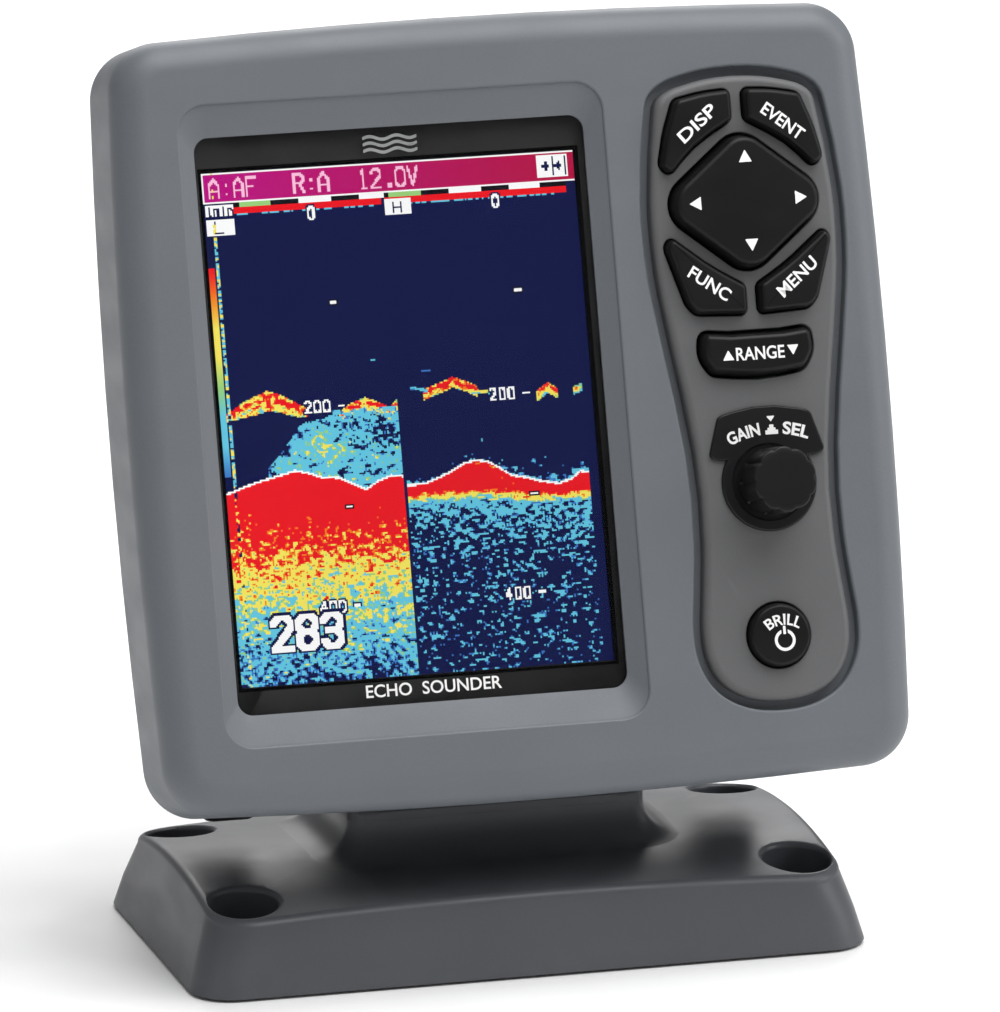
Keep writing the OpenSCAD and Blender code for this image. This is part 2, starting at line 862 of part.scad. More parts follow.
// ---------- what is drawn ----------
mount_base();
mount_end_left();
mount_end_right();
base_pad();
ear_bushes();
friction_washers();
tilt_knob_left();
tilt_stud_left();
tilt_knob_right();
tilt_stud_right();
tilt_bracket();
bracket_inserts();
bracket_screws();
front_bezel();
rear_cover();
case_gasket();
cover_screws();
display_window();
window_seal();
lcd_panel();
lcd_frame();
backlight();
lcd_cable();
main_board();
board_standoffs();
board_screws();
processor_chips();
power_board();
power_screws();
transformer();
capacitors();
heat_sink();
power_connector();
sounder_connector();
data_connector();
connector_pins();
connector_nuts();
ground_terminal();
buzzer();
keypad_fascia();
knob_surround();
keypad_board();
keypad_screws();
key_switches();
cursor_post();
encoder_body();
encoder_nut();
disp_key();
event_key();
func_key();
menu_key();
power_key();
cursor_gimbal();
cursor_pad();
range_rocker();
encoder_plunger();
gain_knob();
knob_shaft();
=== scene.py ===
# %% [markdown]
# # A portrait echo sounder on its desk mount
# The CAD model already gives every piece its size and its joints. This lesson adds what the eye wants:
# rounded mouldings, keys with printed words, a lit screen and finishes with grain. Everything is in
# metres and in the CAD model's own frame, so a new piece goes exactly where its CAD piece is.

import json
import math

import bpy
import numpy as np
from mathutils import Matrix, Vector


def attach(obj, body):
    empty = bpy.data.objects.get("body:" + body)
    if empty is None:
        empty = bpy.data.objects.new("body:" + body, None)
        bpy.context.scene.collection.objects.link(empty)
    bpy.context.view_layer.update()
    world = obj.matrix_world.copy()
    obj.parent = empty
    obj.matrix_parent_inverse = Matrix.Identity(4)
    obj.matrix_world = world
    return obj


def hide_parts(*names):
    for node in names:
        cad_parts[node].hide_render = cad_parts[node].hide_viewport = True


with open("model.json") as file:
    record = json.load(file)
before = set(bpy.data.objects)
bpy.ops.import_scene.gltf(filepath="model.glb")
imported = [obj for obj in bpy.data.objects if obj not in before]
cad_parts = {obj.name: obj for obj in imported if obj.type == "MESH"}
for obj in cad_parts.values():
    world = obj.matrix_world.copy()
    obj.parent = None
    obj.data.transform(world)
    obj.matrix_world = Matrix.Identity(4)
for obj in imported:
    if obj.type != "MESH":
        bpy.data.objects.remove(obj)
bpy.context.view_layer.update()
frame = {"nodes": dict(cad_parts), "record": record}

# %% [markdown]
# ## The camera
# A long lens far away keeps the upright edges of the case nearly parallel, as in a catalogue picture.
# The camera stands a little to the left and looks slightly down. It is made first, so that every
# later step can be judged through it.

# %% Camera
look_at = Vector((0, 0, 0.1))
turned, raised, away = math.radians(-15.8), math.radians(14.9), 2.683
back = Vector((math.sin(turned) * math.cos(raised), -math.cos(turned) * math.cos(raised),
               math.sin(raised)))
bpy.ops.object.camera_add(location=look_at + back * away)
camera = bpy.context.object
camera.name = "camera"
camera.rotation_euler = (-back).to_track_quat("-Z", "Y").to_euler()
camera.data.sensor_width = 36
camera.data.lens = 420.65
camera.data.shift_x = 0.0129
camera.data.shift_y = -0.0044
camera.data.clip_end = 20
bpy.context.scene.camera = camera
print("camera at", [round(v, 3) for v in camera.location])

# %% [markdown]
# ## The room
# A studio table is one pale sheet under large soft lights. The world itself stays dim, because the
# window of the instrument mirrors it and its black border would turn grey under a bright one.

# %% Floor
bpy.ops.mesh.primitive_plane_add(size=14, location=(0, 3, 0))
floor = bpy.context.object
floor.name = "floor"

# %% Lights
def soft_light(name, place, aim, size, watts):
    """A square soft box that looks at a point."""
    bpy.ops.object.light_add(type="AREA", location=place)
    lamp = bpy.context.object
    lamp.name = name
    lamp.data.size = size
    lamp.data.energy = watts
    lamp.rotation_euler = (Vector(aim) - Vector(place)).to_track_quat("-Z", "Y").to_euler()
    return lamp

soft_light("light_above", (0.45, -0.5, 2.2), (0, 0, 0), 2.0, 62)
soft_light("light_left", (-1.6, -0.9, 0.7), (0, 0, 0.12), 0.9, 0.5)
soft_light("light_right", (1.7, -0.6, 0.9), (0, 0, 0.12), 0.8, 8)
soft_light("light_behind", (0.3, 2.2, 1.4), (0, 0, 0.05), 1.6, 26)

world = bpy.data.worlds.new("studio")
bpy.context.scene.world = world
world.use_nodes = True
world.node_tree.nodes["Background"].inputs["Color"].default_value = (1.0, 1.0, 1.0, 1)
world.node_tree.nodes["Background"].inputs["Strength"].default_value = 0.28
bpy.context.scene.view_settings.view_transform = "Standard"

# %% [markdown]
# ## Hand tools
# Operators act on whatever is selected, so each step starts from an empty selection. `pick` selects
# just the pieces it is given and makes the first one active.

# %% Selecting
MM = 0.001

def deselect():
    if bpy.context.object and bpy.context.object.mode != "OBJECT":
        bpy.ops.object.mode_set(mode="OBJECT")
    bpy.ops.object.select_all(action="DESELECT")

def pick(*pieces):
    deselect()
    for piece in pieces:
        piece.select_set(True)
    bpy.context.view_layer.objects.active = pieces[0]

def settle(*pieces):
    """Makes the place, turn and size of the pieces part of their meshes."""
    pick(*pieces)
    bpy.ops.object.transform_apply(location=True, rotation=True, scale=True)
    return pieces[0]

# %% [markdown]
# ## Outlines
# Most pieces here are mouldings: one outline seen from the front, with rounded corners, that changes a
# little from level to level as the sides lean in and the edge rounds over. So an outline is kept as
# points with their outward direction. A point then moves in or out along its own direction, which
# keeps the corners round at every level.

# %% Outline with rounded corners
AS_LARGE_AS_FITS = 1e6

def outline(corners, arc_step=11):
    """Points and outward directions round a closed shape, from (x, y, corner radius) in mm, anticlockwise."""
    spots = [Vector(c[:2]) for c in corners]
    points = []
    for i, here in enumerate(spots):
        before, after = spots[i - 1], spots[(i + 1) % len(spots)]
        arriving, leaving = here - before, after - here
        room = min(arriving.length, leaving.length) * 0.4999
        arriving.normalize()
        leaving.normalize()
        turn = arriving.angle_signed(leaving) * -1
        side = 1 if turn >= 0 else -1
        out_before = Vector((arriving.y, -arriving.x))
        if abs(turn) < 1e-5 or corners[i][2] == 0:
            out_after = Vector((leaving.y, -leaving.x))
            points.append((here, (out_before + out_after) / (1 + out_before.dot(out_after))))
            continue
        slope = math.tan(abs(turn) / 2)
        reach = min(corners[i][2] * slope, room)
        radius = reach / slope
        centre = here - arriving * reach - out_before * radius * side
        steps = max(1, math.ceil(math.degrees(abs(turn)) / arc_step))
        for k in range(steps + 1):
            out = out_before.copy()
            out.rotate(Matrix.Rotation(turn * k / steps, 2))
            points.append((centre + out * radius * side, out))
    return points

def mirrored(half):
    """Corners for both halves, from those of the right half, top to bottom."""
    right = [c for c in half if c[0] > 0]
    ends = [c for c in half if c[0] == 0]
    left = [(-x, y, r) for x, y, r in right]
    return [ends[0], *left, *ends[1:], *right[::-1]]

def box_outline(width, height, radius):
    w, h = width / 2, height / 2
    return outline([(-w, -h, radius), (w, -h, radius), (w, h, radius), (-w, h, radius)])

def round_outline(radius, sides=64):
    turns = [2 * math.pi * k / sides for k in range(sides)]
    ways = [Vector((math.cos(a), math.sin(a))) for a in turns]
    return [(w * radius, w) for w in ways]

# %% [markdown]
# ## Lofting by extrusion
# A filled circle is added with one corner for each point of the outline and laid on it. The face is
# then extruded level by level, and each new ring is laid on its own place. Both ends stay closed, so
# the result is a solid skin. `profile` lists how far in each level is and how high it stands.

# %% Loft
def ring(shape, inset, z, x=0, y=0):
    return [Vector(((p.x - n.x * inset + x) * MM, (p.y - n.y * inset + y) * MM, z * MM))
            for p, n in shape]

def loft(name, rings):
    deselect()
    bpy.ops.mesh.primitive_circle_add(vertices=len(rings[0]), radius=0.05, fill_type="NGON")
    piece = bpy.context.object
    piece.name = piece.data.name = name
    for corner, place in zip(piece.data.vertices, rings[0]):
        corner.co = place
    for last, following in zip(rings, rings[1:]):
        moves = {tuple(a): b for a, b in zip(last, following)}
        bpy.ops.object.mode_set(mode="EDIT")
        bpy.ops.mesh.extrude_region_move()
        bpy.ops.object.mode_set(mode="OBJECT")
        for corner in piece.data.vertices:
            if corner.select:
                corner.co = moves[tuple(corner.co)]
    outward(piece)
    return piece

def outward(piece):
    """All faces point outwards, after corners that lie on each other are merged."""
    pick(piece)
    bpy.ops.object.mode_set(mode="EDIT")
    bpy.ops.mesh.select_all(action="SELECT")
    bpy.ops.mesh.remove_doubles(threshold=1e-7)
    bpy.ops.mesh.normals_make_consistent(inside=False)
    bpy.ops.object.mode_set(mode="OBJECT")

def moulding(name, shape, profile, x=0, y=0):
    return loft(name, [ring(shape, inset, z, x, y) for inset, z in profile])

def over_edge(radius, top, inset=0, steps=6):
    """Levels that round an edge over, from the wall to the top."""
    turns = [math.pi / 2 * k / steps for k in range(steps + 1)]
    return [(inset + radius * (1 - math.cos(a)), top - radius * (1 - math.sin(a))) for a in turns]

def flare(radius, top, steps=4):
    """Levels of a cutter whose mouth opens out, so that the hole it cuts has a rounded rim."""
    turns = [math.pi / 2 * k / steps for k in range(steps + 1)]
    return [(-radius * (1 - math.cos(a)), top - radius * (1 - math.sin(a)))
            for a in turns] + [(-radius, top + 2)]

# %% [markdown]
# ## Cutting, joining and shading
# A boolean modifier, once applied, cuts or adds one skin to another. Afterwards faces that meet at a
# shallow angle are shaded as one surface, and weighted normals keep the large flat faces flat.

# %% Boolean and shading
def combine(piece, others, operation="DIFFERENCE"):
    for other in others:
        pick(piece)
        bpy.ops.object.modifier_add(type="BOOLEAN")
        piece.modifiers[-1].object = other
        piece.modifiers[-1].operation = operation
        piece.modifiers[-1].solver = "EXACT"
        bpy.ops.object.modifier_apply(modifier=piece.modifiers[-1].name)
        bpy.data.objects.remove(other)
    return piece

def shade(piece, angle=32):
    pick(piece)
    bpy.ops.object.shade_smooth_by_angle(angle=math.radians(angle))
    bpy.ops.object.modifier_add(type="WEIGHTED_NORMAL")
    piece.modifiers[-1].keep_sharp = True
    bpy.ops.object.modifier_apply(modifier=piece.modifiers[-1].name)
    return piece

def joined(name, pieces):
    pick(*pieces)
    if len(pieces) > 1:
        bpy.ops.object.join()
    piece = bpy.context.object
    piece.name = piece.data.name = name
    return piece

# %% [markdown]
# ## Standing a piece on the leaning display
# The display's own axes are x to the right, y up the face and z out of the face, with the origin in the
# middle of the case face. Pieces are modelled flat in those axes. `to_display` then tips them to the
# lean of the case and applies the move, so the object itself stays at the origin.

# %% Display axes
LEAN = math.radians(17.2)
face_middle = Matrix.Translation((0, -26.4 * MM, 129.2 * MM))
display_axes = face_middle @ Matrix.Rotation(math.pi / 2 - LEAN, 4, "X")
KEYPAD = (55.8, -0.9)

def on_keypad(place):
    """A place on the display, from one measured from the middle of the keypad."""
    return KEYPAD[0] + place[0], KEYPAD[1] + place[1]

def to_display(piece, x=0, y=0, z=0, turn=0):
    piece.matrix_world = (display_axes @ Matrix.Translation((x * MM, y * MM, z * MM))
                          @ Matrix.Rotation(math.radians(turn), 4, "Z") @ piece.matrix_world)
    return settle(piece)

# %% [markdown]
# ## Shared effects
# A moulded plastic skin has a spark-eroded grain, slow changes of tone from the mould, and faint
# handling marks that change only its gloss. These are wanted in nearly every finish, so each effect is
# a node group with named inputs, built once and set differently in each material.

# %% Node helpers
def new_group(name, inputs, outputs):
    group = bpy.data.node_groups.new(name, "ShaderNodeTree")
    for label, kind, default in inputs:
        socket = group.interface.new_socket(name=label, in_out="INPUT", socket_type="NodeSocket" + kind)
        socket.default_value = default
    for label, kind in outputs:
        group.interface.new_socket(name=label, in_out="OUTPUT", socket_type="NodeSocket" + kind)
    return group, group.nodes.new("NodeGroupInput").outputs, group.nodes.new("NodeGroupOutput").inputs

def add(tree, kind, settings=None, **links):
    """A node with its settings, whose named inputs are numbers, colours or other nodes' outputs."""
    node = tree.nodes.new("ShaderNode" + kind)
    for key, value in (settings or {}).items():
        setattr(node, key, value)
    for key, value in links.items():
        label = key.replace("_", " ")
        socket = node.inputs[int(key[1:])] if key[0] == "i" and key[1:].isdigit() else node.inputs[label]
        if isinstance(value, bpy.types.NodeSocket):
            tree.links.new(value, socket)
        else:
            socket.default_value = value
    return node

def noise(tree, at, scale, detail=3.0, stretch=(1, 1, 1)):
    mapped = add(tree, "Mapping", Vector=at, Scale=stretch).outputs[0]
    return add(tree, "TexNoise", Vector=mapped, Scale=scale, Detail=detail).outputs["Fac"]

def spread(tree, value, low, high, to_low=0.0, to_high=1.0):
    return add(tree, "MapRange", Value=value, From_Min=low, From_Max=high, To_Min=to_low,
               To_Max=to_high).outputs[0]

def blend(tree, mask, low, high):
    """A colour between two others, as far along as the mask says."""
    return add(tree, "Mix", {"data_type": "RGBA"}, i0=mask, i6=low, i7=high).outputs[2]

def calculate(tree, operation, a, b):
    return add(tree, "Math", {"operation": operation}, i0=a, i1=b).outputs[0]

# %% Moulded skin
def build_moulded_skin():
    group, given, result = new_group(
        "moulded skin",
        [("Colour", "Color", (0.2, 0.2, 0.2, 1)), ("Tone spread", "Float", 0.1),
         ("Grain per metre", "Float", 2200.0),
         ("Roughness", "Float", 0.5), ("Gloss spread", "Float", 0.08)],
        [("Colour", "Color"), ("Roughness", "Float"), ("Height", "Float")])
    at = add(group, "TexCoord").outputs["Object"]
    slow = noise(group, at, 14.0, 3.0)
    fine = add(group, "TexNoise", Vector=at, Scale=given["Grain per metre"], Detail=2.0).outputs["Fac"]
    speck = add(group, "TexVoronoi", Vector=at, Scale=given["Grain per metre"]).outputs["Distance"]
    tone = calculate(group, "MULTIPLY", spread(group, slow, 0.3, 0.7, -1, 1), given["Tone spread"])
    grain_tone = calculate(group, "MULTIPLY", spread(group, fine, 0.3, 0.7, -0.6, 0.6),
                           given["Tone spread"])
    light = calculate(group, "ADD", calculate(group, "ADD", tone, grain_tone), 1.0)
    tinted = add(group, "VectorMath", {"operation": "SCALE"}, i0=given["Colour"], Scale=light)
    group.links.new(tinted.outputs[0], result["Colour"])
    wiped = noise(group, at, 46.0, 4.0, (1, 1, 2.6))
    gloss = calculate(group, "MULTIPLY", spread(group, wiped, 0.35, 0.7, -1, 1), given["Gloss spread"])
    group.links.new(calculate(group, "ADD", given["Roughness"], gloss), result["Roughness"])
    pits = calculate(group, "ADD", fine, calculate(group, "MULTIPLY", speck, 0.5))
    group.links.new(pits, result["Height"])
    return group

moulded_skin = build_moulded_skin()

# %% [markdown]
# Corners that hands and cloths reach are polished and a little paler, and dust settles on what faces
# up. Both are masks over the surface, so both are groups that put out a colour and a roughness.

# %% Rubbed edges and dust
def build_rubbed_edges():
    group, given, result = new_group(
        "rubbed edges",
        [("Colour", "Color", (0.2, 0.2, 0.2, 1)), ("Worn colour", "Color", (0.3, 0.3, 0.3, 1)),
         ("Roughness", "Float", 0.5), ("Amount", "Float", 0.3)],
        [("Colour", "Color"), ("Roughness", "Float")])
    at = add(group, "TexCoord").outputs["Object"]
    sharp = add(group, "NewGeometry").outputs["Pointiness"]
    edge = spread(group, sharp, 0.52, 0.6)
    broken = spread(group, noise(group, at, 160.0, 5.0), 0.4, 0.62)
    mask = calculate(group, "MULTIPLY", calculate(group, "MULTIPLY", edge, broken), given["Amount"])
    worn = blend(group, mask, given["Colour"], given["Worn colour"])
    group.links.new(worn, result["Colour"])
    polished = calculate(group, "SUBTRACT", given["Roughness"],
                         calculate(group, "MULTIPLY", mask, 0.25))
    group.links.new(polished, result["Roughness"])
    return group

def build_dust():
    group, given, result = new_group(
        "settled dust",
        [("Colour", "Color", (0.2, 0.2, 0.2, 1)), ("Roughness", "Float", 0.5),
         ("Amount", "Float", 0.05)],
        [("Colour", "Color"), ("Roughness", "Float")])
    at = add(group, "TexCoord").outputs["Object"]
    facing = add(group, "SeparateXYZ", i0=add(group, "NewGeometry").outputs["Normal"]).outputs["Z"]
    upward = spread(group, facing, 0.55, 1.0)
    patches = spread(group, noise(group, at, 90.0, 6.0), 0.35, 0.7)
    mask = calculate(group, "MULTIPLY", calculate(group, "MULTIPLY", upward, patches), given["Amount"])
    dusty = blend(group, mask, given["Colour"], (0.55, 0.54, 0.5, 1))
    group.links.new(dusty, result["Colour"])
    group.links.new(calculate(group, "ADD", given["Roughness"], mask), result["Roughness"])
    return group

rubbed_edges, settled_dust = build_rubbed_edges(), build_dust()

# %% [markdown]
# Metal parts are turned, drawn or plated. Fine parallel scratches change their gloss, and a plated
# face has faint cloudy patches. One group serves steel, brass, nickel and aluminium.

# %% Worked metal
def build_worked_metal():
    group, given, result = new_group(
        "worked metal",
        [("Colour", "Color", (0.6, 0.6, 0.6, 1)), ("Roughness", "Float", 0.3),
         ("Scratches per metre", "Float", 3000.0),
         ("Stain", "Float", 0.15)],
        [("Colour", "Color"), ("Roughness", "Float"), ("Height", "Float")])
    at = add(group, "TexCoord").outputs["Object"]
    drawn = add(group, "Mapping", Vector=at, Scale=(0.04, 1, 1)).outputs[0]
    lines = add(group, "TexNoise", Vector=drawn, Scale=given["Scratches per metre"],
                Detail=2.0).outputs["Fac"]
    cloud = noise(group, at, 120.0, 5.0)
    dark = calculate(group, "MULTIPLY", spread(group, cloud, 0.45, 0.75), given["Stain"])
    tinted = add(group, "VectorMath", {"operation": "SCALE"}, i0=given["Colour"],
                 Scale=calculate(group, "SUBTRACT", 1.0, dark))
    group.links.new(tinted.outputs[0], result["Colour"])
    rough = calculate(group, "ADD", given["Roughness"], spread(group, lines, 0.3, 0.7, -0.06, 0.1))
    group.links.new(calculate(group, "ADD", rough, dark), result["Roughness"])
    group.links.new(lines, result["Height"])
    return group

worked_metal = build_worked_metal()
print("groups", [g.name for g in bpy.data.node_groups])

# %% [markdown]
# ## The finishes
# `plastic` and `metal` place the groups in a material and set them for one finish. The bevelled look of
# a real moulding comes from its grain and from small changes of gloss, so no finish is one flat colour.

# %% Plastics
finishes = {}

def new_material(name):
    material = finishes[name] = bpy.data.materials.new(name)
    material.use_nodes = True
    return material, material.node_tree, material.node_tree.nodes["Principled BSDF"]

def use_group(tree, group, **values):
    node = tree.nodes.new("ShaderNodeGroup")
    node.node_tree = group
    for key, value in values.items():
        socket = node.inputs[key.replace("_", " ")]
        if isinstance(value, bpy.types.NodeSocket):
            tree.links.new(value, socket)
        else:
            socket.default_value = value
    return node.outputs

def grain_bump(tree, shader, height, depth, strength):
    bump = add(tree, "Bump", Height=height, Distance=depth, Strength=strength)
    tree.links.new(bump.outputs["Normal"], shader.inputs["Normal"])

def plastic(name, colour, roughness, grain=2200.0, depth=0.00002, tone=0.05, worn=0.25, dust=0.03,
            strength=0.35, gloss=0.4):
    material, tree, shader = new_material(name)
    skin = use_group(tree, moulded_skin, Colour=(*colour, 1), Tone_spread=tone, Grain_per_metre=grain,
                     Roughness=roughness, Gloss_spread=0.05)
    pale = [min(1.0, c * 1.5 + 0.02) for c in colour]
    edges = use_group(tree, rubbed_edges, Colour=skin["Colour"], Worn_colour=(*pale, 1),
                      Roughness=skin["Roughness"], Amount=worn)
    top = use_group(tree, settled_dust, Colour=edges["Colour"], Roughness=edges["Roughness"],
                    Amount=dust)
    tree.links.new(top["Colour"], shader.inputs["Base Color"])
    tree.links.new(top["Roughness"], shader.inputs["Roughness"])
    shader.inputs["Specular IOR Level"].default_value = gloss
    grain_bump(tree, shader, skin["Height"], depth, strength)
    return material

case_plastic = plastic("case_plastic", (0.132, 0.143, 0.158), 0.46, worn=0.2)
fascia_plastic = plastic("fascia_plastic", (0.110, 0.111, 0.114), 0.5, worn=0.15)
base_plastic = plastic("base_plastic", (0.075, 0.079, 0.088), 0.42, worn=0.2)
bracket_plastic = plastic("bracket_plastic", (0.07, 0.074, 0.082), 0.45)
knob_plastic = plastic("knob_plastic", (0.007, 0.007, 0.008), 0.36, grain=3000.0, tone=0.1, dust=0.004,
                       gloss=0.25)
key_rubber = plastic("key_rubber", (0.005, 0.005, 0.0055), 0.42, grain=4200.0, depth=0.00001, tone=0.12,
                     dust=0.004, gloss=0.22)
soft_rubber = plastic("soft_rubber", (0.018, 0.018, 0.018), 0.75, grain=1500.0, depth=0.00004, tone=0.2)
nylon = plastic("nylon", (0.72, 0.71, 0.67), 0.4, grain=1800.0, worn=0.0)
fibre = plastic("fibre", (0.11, 0.10, 0.085), 0.8, grain=900.0, depth=0.00008, tone=0.25)
chip_plastic = plastic("chip_plastic", (0.022, 0.022, 0.025), 0.55, grain=3500.0)
light_guide = plastic("light_guide", (0.82, 0.83, 0.84), 0.3, grain=800.0, worn=0.0)
print_white = plastic("print_white", (0.86, 0.86, 0.85), 0.5, grain=2600.0, worn=0.0, dust=0.0)
print_black = plastic("print_black", (0.0015, 0.0015, 0.002), 0.4, grain=2600.0, worn=0.0, dust=0.0,
                      gloss=0.0)

# %% Metals
def metal(name, colour, roughness, lines=3000.0, stain=0.15, depth=0.000008):
    material, tree, shader = new_material(name)
    face = use_group(tree, worked_metal, Colour=(*colour, 1), Roughness=roughness,
                     Scratches_per_metre=lines, Stain=stain)
    tree.links.new(face["Colour"], shader.inputs["Base Color"])
    tree.links.new(face["Roughness"], shader.inputs["Roughness"])
    shader.inputs["Metallic"].default_value = 1.0
    grain_bump(tree, shader, face["Height"], depth, 0.4)
    return material

steel = metal("steel", (0.56, 0.56, 0.57), 0.3)
brass = metal("brass", (0.62, 0.46, 0.2), 0.3)
heat_sink_metal = metal("heat_sink_metal", (0.62, 0.63, 0.65), 0.42, lines=1800.0)
connector_metal = metal("connector_metal", (0.66, 0.65, 0.62), 0.2, lines=5000.0, stain=0.08)
silver_print = metal("silver_print", (0.62, 0.63, 0.64), 0.32, lines=7000.0, stain=0.05)

# %% [markdown]
# A circuit board is green lacquer over copper: the tracks show as slightly paler, raised lines. A brick
# pattern with thin mortar gives straight tracks, and a second one across it gives the branches.

# %% Circuit board and ribbon cable
def build_circuit_board():
    material, tree, shader = new_material("circuit_board")
    at = add(tree, "TexCoord").outputs["Object"]
    flat = add(tree, "Mapping", Vector=at, Rotation=(math.pi / 2 - LEAN, 0, 0)).outputs[0]
    masks = []
    for cell, row in ((0.006, 0.0024), (0.0021, 0.0085)):
        tracks = add(tree, "TexBrick", Vector=flat, Scale=1.0, Mortar_Size=0.0002, Brick_Width=cell,
                     Row_Height=row)
        masks.append(tracks.outputs["Fac"])
    track = calculate(tree, "MAXIMUM", masks[0], masks[1])
    blotch = spread(tree, noise(tree, at, 60.0), 0.3, 0.7)
    lacquer = blend(tree, blotch, (0.006, 0.05, 0.02, 1), (0.01, 0.075, 0.028, 1))
    board = blend(tree, track, lacquer, (0.03, 0.15, 0.06, 1))
    tree.links.new(board, shader.inputs["Base Color"])
    tree.links.new(spread(tree, track, 0, 1, 0.32, 0.24), shader.inputs["Roughness"])
    grain_bump(tree, shader, track, 0.00004, 0.6)
    return material

def build_flat_cable():
    material, tree, shader = new_material("flat_cable")
    at = add(tree, "TexCoord").outputs["Object"]
    lanes = add(tree, "TexWave", {"bands_direction": "X"}, Vector=at, Scale=160.0).outputs["Fac"]
    mixed = blend(tree, lanes, (0.42, 0.2, 0.03, 1), (0.6, 0.38, 0.12, 1))
    tree.links.new(mixed, shader.inputs["Base Color"])
    tree.links.new(spread(tree, lanes, 0, 1, 0.25, 0.4), shader.inputs["Roughness"])
    grain_bump(tree, shader, lanes, 0.00003, 0.5)
    return material

circuit_board, flat_cable = build_circuit_board(), build_flat_cable()

# %% [markdown]
# The window is coated so that it mirrors little: a low index of refraction on the shader does that. The
# faint smears of a wiped window are only a change of its roughness. The liquid crystal glass behind it
# is dark and glossy where no picture is shown.

# %% Glass
def build_window_glass():
    material, tree, shader = new_material("window_glass")
    at = add(tree, "TexCoord").outputs["Object"]
    smear = noise(tree, at, 35.0, 6.0, (1, 1, 0.35))
    tree.links.new(spread(tree, smear, 0.4, 0.75, 0.0, 0.035), shader.inputs["Roughness"])
    tint = blend(tree, smear, (0.97, 0.98, 0.985, 1), (0.985, 0.985, 0.98, 1))
    tree.links.new(tint, shader.inputs["Base Color"])
    shader.inputs["Transmission Weight"].default_value = 1.0
    shader.inputs["IOR"].default_value = 1.18
    return material

def build_lcd_glass():
    material, tree, shader = new_material("lcd_glass")
    at = add(tree, "TexCoord").outputs["Object"]
    haze = noise(tree, at, 50.0, 4.0)
    dark = blend(tree, haze, (0.002, 0.004, 0.014, 1), (0.004, 0.007, 0.02, 1))
    tree.links.new(dark, shader.inputs["Base Color"])
    tree.links.new(spread(tree, haze, 0.3, 0.7, 0.12, 0.2), shader.inputs["Roughness"])
    return material

window_glass, lcd_glass = build_window_glass(), build_lcd_glass()

# %% [markdown]
# ## Finishes on the CAD nodes
# Every CAD node keeps its own mesh and takes the finish of its material slot. Nodes that get a finer
# piece later are hidden then.

# %% Dress the nodes
slot_of = {part["node"]: part["material_slot"] for part in frame["record"]["subparts"]}
for node_name, node in frame["nodes"].items():
    node.data.materials.clear()
    node.data.materials.append(finishes[slot_of[node_name]])
print("nodes dressed", len(slot_of))

def finish_piece(piece, body, slot, *nodes, material=None):
    """Gives a new piece its finish and its body, and lets it stand for CAD nodes."""
    piece.data.materials.clear()
    piece.data.materials.append(material or finishes[slot])
    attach(piece, body)
    if nodes:
        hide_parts(*nodes)
    print(piece.name, len(piece.data.polygons), "faces")
    return piece

# %% [markdown]
# ## The front moulding
# The case is a shallow rounded box whose four sides bow out a little. Its front edge is rounded over
# generously, which gives the long soft highlight down each side. It is lofted from its own outline,
# then the inside, the sloping window recess and the keypad's hollow are cut with flared cutters, so
# every rim is slightly rounded as on a real moulding.

# %% Case outline
def bowed_outline(width, height, bow, corner):
    corners = []
    spans = 8
    for side in range(4):
        reach, half = (width / 2, height / 2 - bow) if side % 2 == 0 else (height / 2, width / 2 - bow)
        for i in range(spans):
            t = 2 * i / spans - 1
            out, along, a = reach - bow * t * t, half * t, side * math.pi / 2
            spot = (out * math.cos(a) - along * math.sin(a), out * math.sin(a) + along * math.cos(a))
            corners.append((*spot, corner if i == 0 else AS_LARGE_AS_FITS))
    return outline(corners, arc_step=6)

case_shape = bowed_outline(178, 177, 2.3, 14.5)
window_centre = (-24.2, -0.2)
screen_centre = (-24.2, -0.9)
print("case outline points", len(case_shape))

# %% Keypad outline
groove_half = [(8, 72.3), (16, 70.2), (19.5, 67.6), (20.8, 60), (22.2, 50), (22.8, 40), (22.4, 28),
               (21.1, 18), (19.3, 6), (17.4, -6), (16.3, -18), (16.1, -28), (17, -42), (18.4, -52),
               (17.8, -60), (14.2, -66.4), (7.8, -70)]

def hourglass():
    half = [(x, y, AS_LARGE_AS_FITS) for x, y in groove_half]
    return outline(mirrored([(0, 72.9, AS_LARGE_AS_FITS), *half, (0, -71, AS_LARGE_AS_FITS)]),
                   arc_step=5)

groove_shape = hourglass()

# %% Key outlines
key_gap = 0.3
rock_gap = 0.6
upper_key = outline([(1.5, 68.6, 1.5), (1.5, 61.6, 1.6), (11, 56.2, 30), (16.9, 49.8, 2.0),
                     (19.2, 52.2, 2.2), (17.4, 59.7, 20), (14.7, 66.9, 2.2), (8, 68.2, 20)], 15)
lower_key = outline([(1.4, 17.6, 1.3), (13.4, 18.2, 3.0), (15.4, 20.6, 3.0), (19.5, 33.8, 2.2),
                     (18, 36, 2.0), (9, 28.8, 30), (1.4, 24.2, 1.6)], 15)
cursor_key = outline([(20.86, 0, 6.3), (0, 16.9, 6.3), (-20.86, 0, 6.3), (0, -16.9, 6.3)], 8)
range_key = outline(mirrored([(0, 4.3, 60), (12.7, 5.6, 1.8), (13.4, 0, 12), (10.8, -3.9, 2.6),
                              (0, -5.4, 60)]), 12)
power_key = round_outline(7.25, 72)
surround_plate = outline(mirrored([(0, 17.4, 60), (5.4, 17, 40), (10.9, 15.5, 2.0), (13.7, 6.4, 1.6),
                                   (11.6, 5.6, 1.0), (0, 5.0, 0)]), 12)
surround_round = round_outline(11.1, 96)

def flip(shape):
    """The same outline on the left, still anticlockwise."""
    return [(Vector((-p.x, p.y)), Vector((-n.x, n.y))) for p, n in reversed(shape)]

